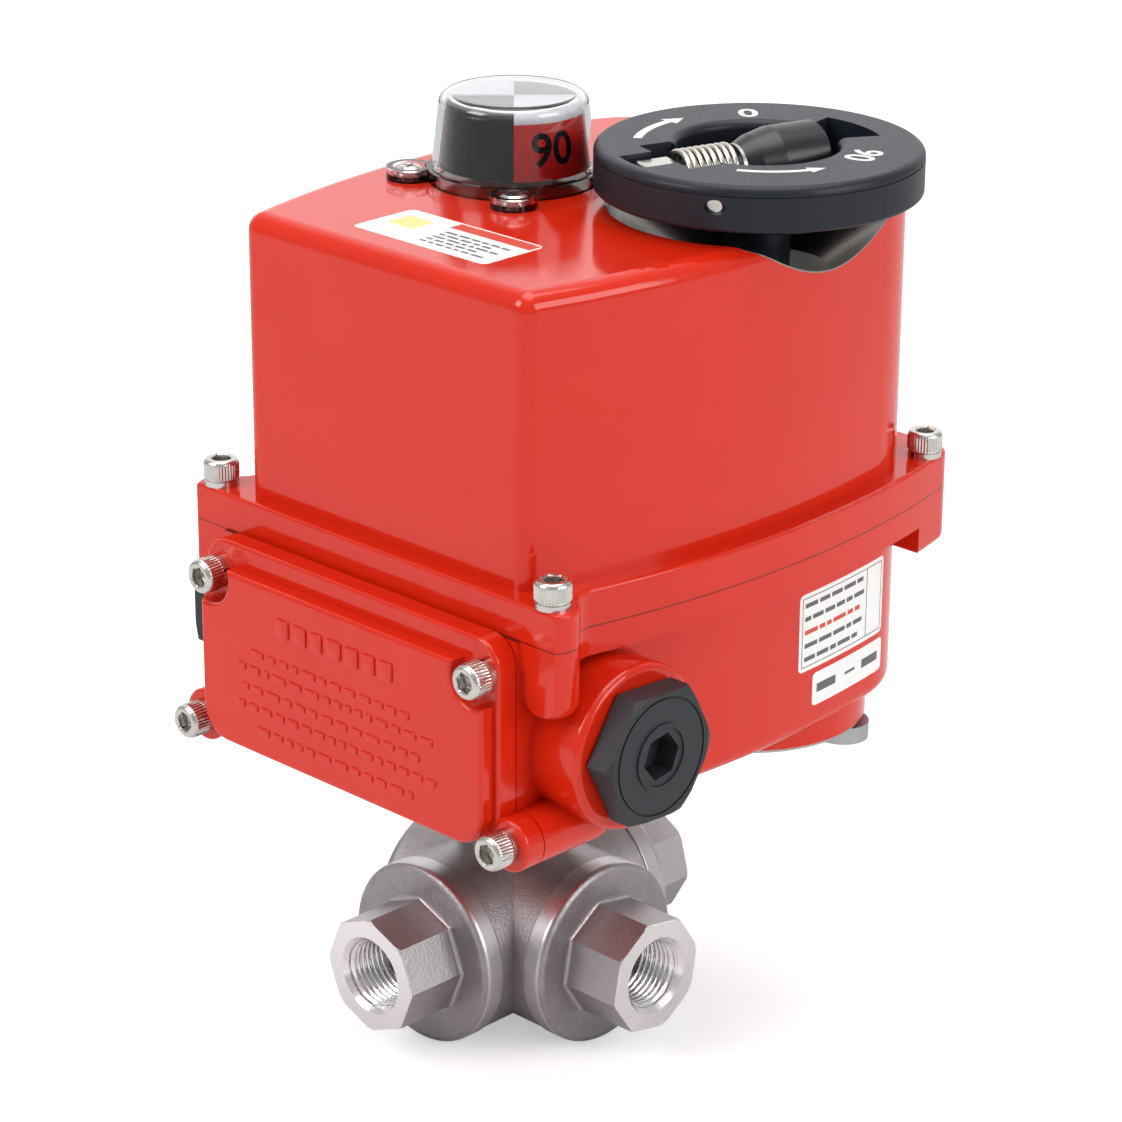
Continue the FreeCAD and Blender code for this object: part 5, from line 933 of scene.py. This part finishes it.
def drum_number(name, text, degrees):
    """A number bent round the drum's side, with its middle at some degrees."""
    data = number_mesh(name, text, DRUM_DIGIT, 0.25)
    work = bmesh.new()
    work.from_mesh(data)
    for k in range(-12, 13):
        everything = work.verts[:] + work.edges[:] + work.faces[:]
        bmesh.ops.bisect_plane(work, geom=everything, plane_co=(k * MM, 0, 0), plane_no=(1, 0, 0))
    middle = (DRUM_LOW + DRUM_HIGH) / 2 - 1.0
    for vert in work.verts:
        x, y, lift = (c / MM for c in vert.co)
        radius = drum_side(middle + y) + 0.05 + lift
        angle = math.radians(degrees) + x / (DRUM_FOOT - 1)
        vert.co = Vector((radius * math.cos(angle), radius * math.sin(angle), middle + y)) * MM
    work.to_mesh(data)
    work.free()
    lay_number(name, data, DRUM_BLACK, "output")


drum_number("drum_number_near", "90", -14)
drum_number("drum_number_far", "90", 166)

# ---------------------------------------------------------------------------
# Floor, lamps and world
# A white studio floor, a large soft lamp from the front left, a fill from the right and one above.
# ---------------------------------------------------------------------------
low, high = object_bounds()
centre = (low + high) / 2
BACKDROP_WAY = (-0.66, 0.68, 0.32)     # a bright backdrop beyond the object, for glossy surfaces


def seen_white(tree):
    """1 for what is seen directly or through the dome, and 0 for light that falls on the object."""
    ray = add(tree, "LightPath").outputs
    first = calc(tree, "LESS_THAN", calc(tree, "ADD", ray["Diffuse Depth"], ray["Glossy Depth"]), 0.5)
    through = calc(tree, "MULTIPLY", ray["Is Transmission Ray"], first)
    return calc(tree, "MAXIMUM", ray["Is Camera Ray"], through)


bpy.ops.mesh.primitive_plane_add(size=8.0, location=(centre.x, centre.y, low.z - 0.0002))
floor = bpy.context.object
floor.name = "studio_floor"
material = bpy.data.materials.new("white_studio_floor")
material.use_nodes = True
tree = material.node_tree
tree.nodes.clear()
seen = seen_white(tree)
flat = add(tree, "BsdfDiffuse", {"Color": (0.8, 0.8, 0.8, 1.0)}).outputs[0]
glow = {"Color": (1.0, 1.0, 1.0, 1.0), "Strength": calc(tree, "MULTIPLY", seen, 0.45)}
glow = add(tree, "Emission", glow).outputs[0]
both = add(tree, "AddShader", {0: flat, 1: glow}).outputs[0]
add(tree, "OutputMaterial", {"Surface": both})
floor.data.materials.append(material)

world = bpy.data.worlds.new("studio")
world.use_nodes = True
bpy.context.scene.world = world
tree = world.node_tree
tree.nodes.clear()
seen = seen_white(tree)
look = add(tree, "TexCoord").outputs["Generated"]
height = add(tree, "SeparateXYZ", {0: look}).outputs["Z"]
behind = add(tree, "VectorMath", {0: look, 1: BACKDROP_WAY}, operation="DOT_PRODUCT").outputs["Value"]
glossy = add(tree, "LightPath").outputs["Is Glossy Ray"]
backdrop = calc(tree, "MULTIPLY", glossy, span(tree, behind, 0.55, 0.92, 0.0, 0.75))
overhead = calc(tree, "MULTIPLY", glossy, span(tree, height, 0.80, 0.92, 0.0, 1.3))
studio = calc(tree, "ADD", span(tree, height, -0.2, 0.9, 0.42, 0.60), calc(tree, "ADD", backdrop, overhead))
strength = add(tree, "Mix", {"Factor": seen, 2: studio, 3: 1.0}, data_type="FLOAT").outputs[0]
back = add(tree, "Background", {"Color": (1.0, 1.0, 1.0, 1.0), "Strength": strength}).outputs[0]
add(tree, "OutputWorld", {"Surface": back})


def lamp(name, place, size, power):
    """A soft area lamp aimed at the object; place and size in metres, power in watts."""
    data = bpy.data.lights.new(name, "AREA")
    data.shape = "RECTANGLE"
    data.size, data.size_y = size
    data.energy = power
    obj = bpy.data.objects.new(name, data)
    obj.location = place
    obj.rotation_mode = "QUATERNION"
    obj.rotation_quaternion = (centre - Vector(place)).to_track_quat("-Z", "Y")
    bpy.context.scene.collection.objects.link(obj)


lamp("key_front_left", (-0.55, -1.5, 1.15), (0.9, 0.9), 16.0)
lamp("fill_right", (1.7, 0.35, 0.8), (1.1, 0.9), 14.0)
lamp("top_soft", (0.0, 0.1, 1.7), (1.2, 1.2), 12.0)
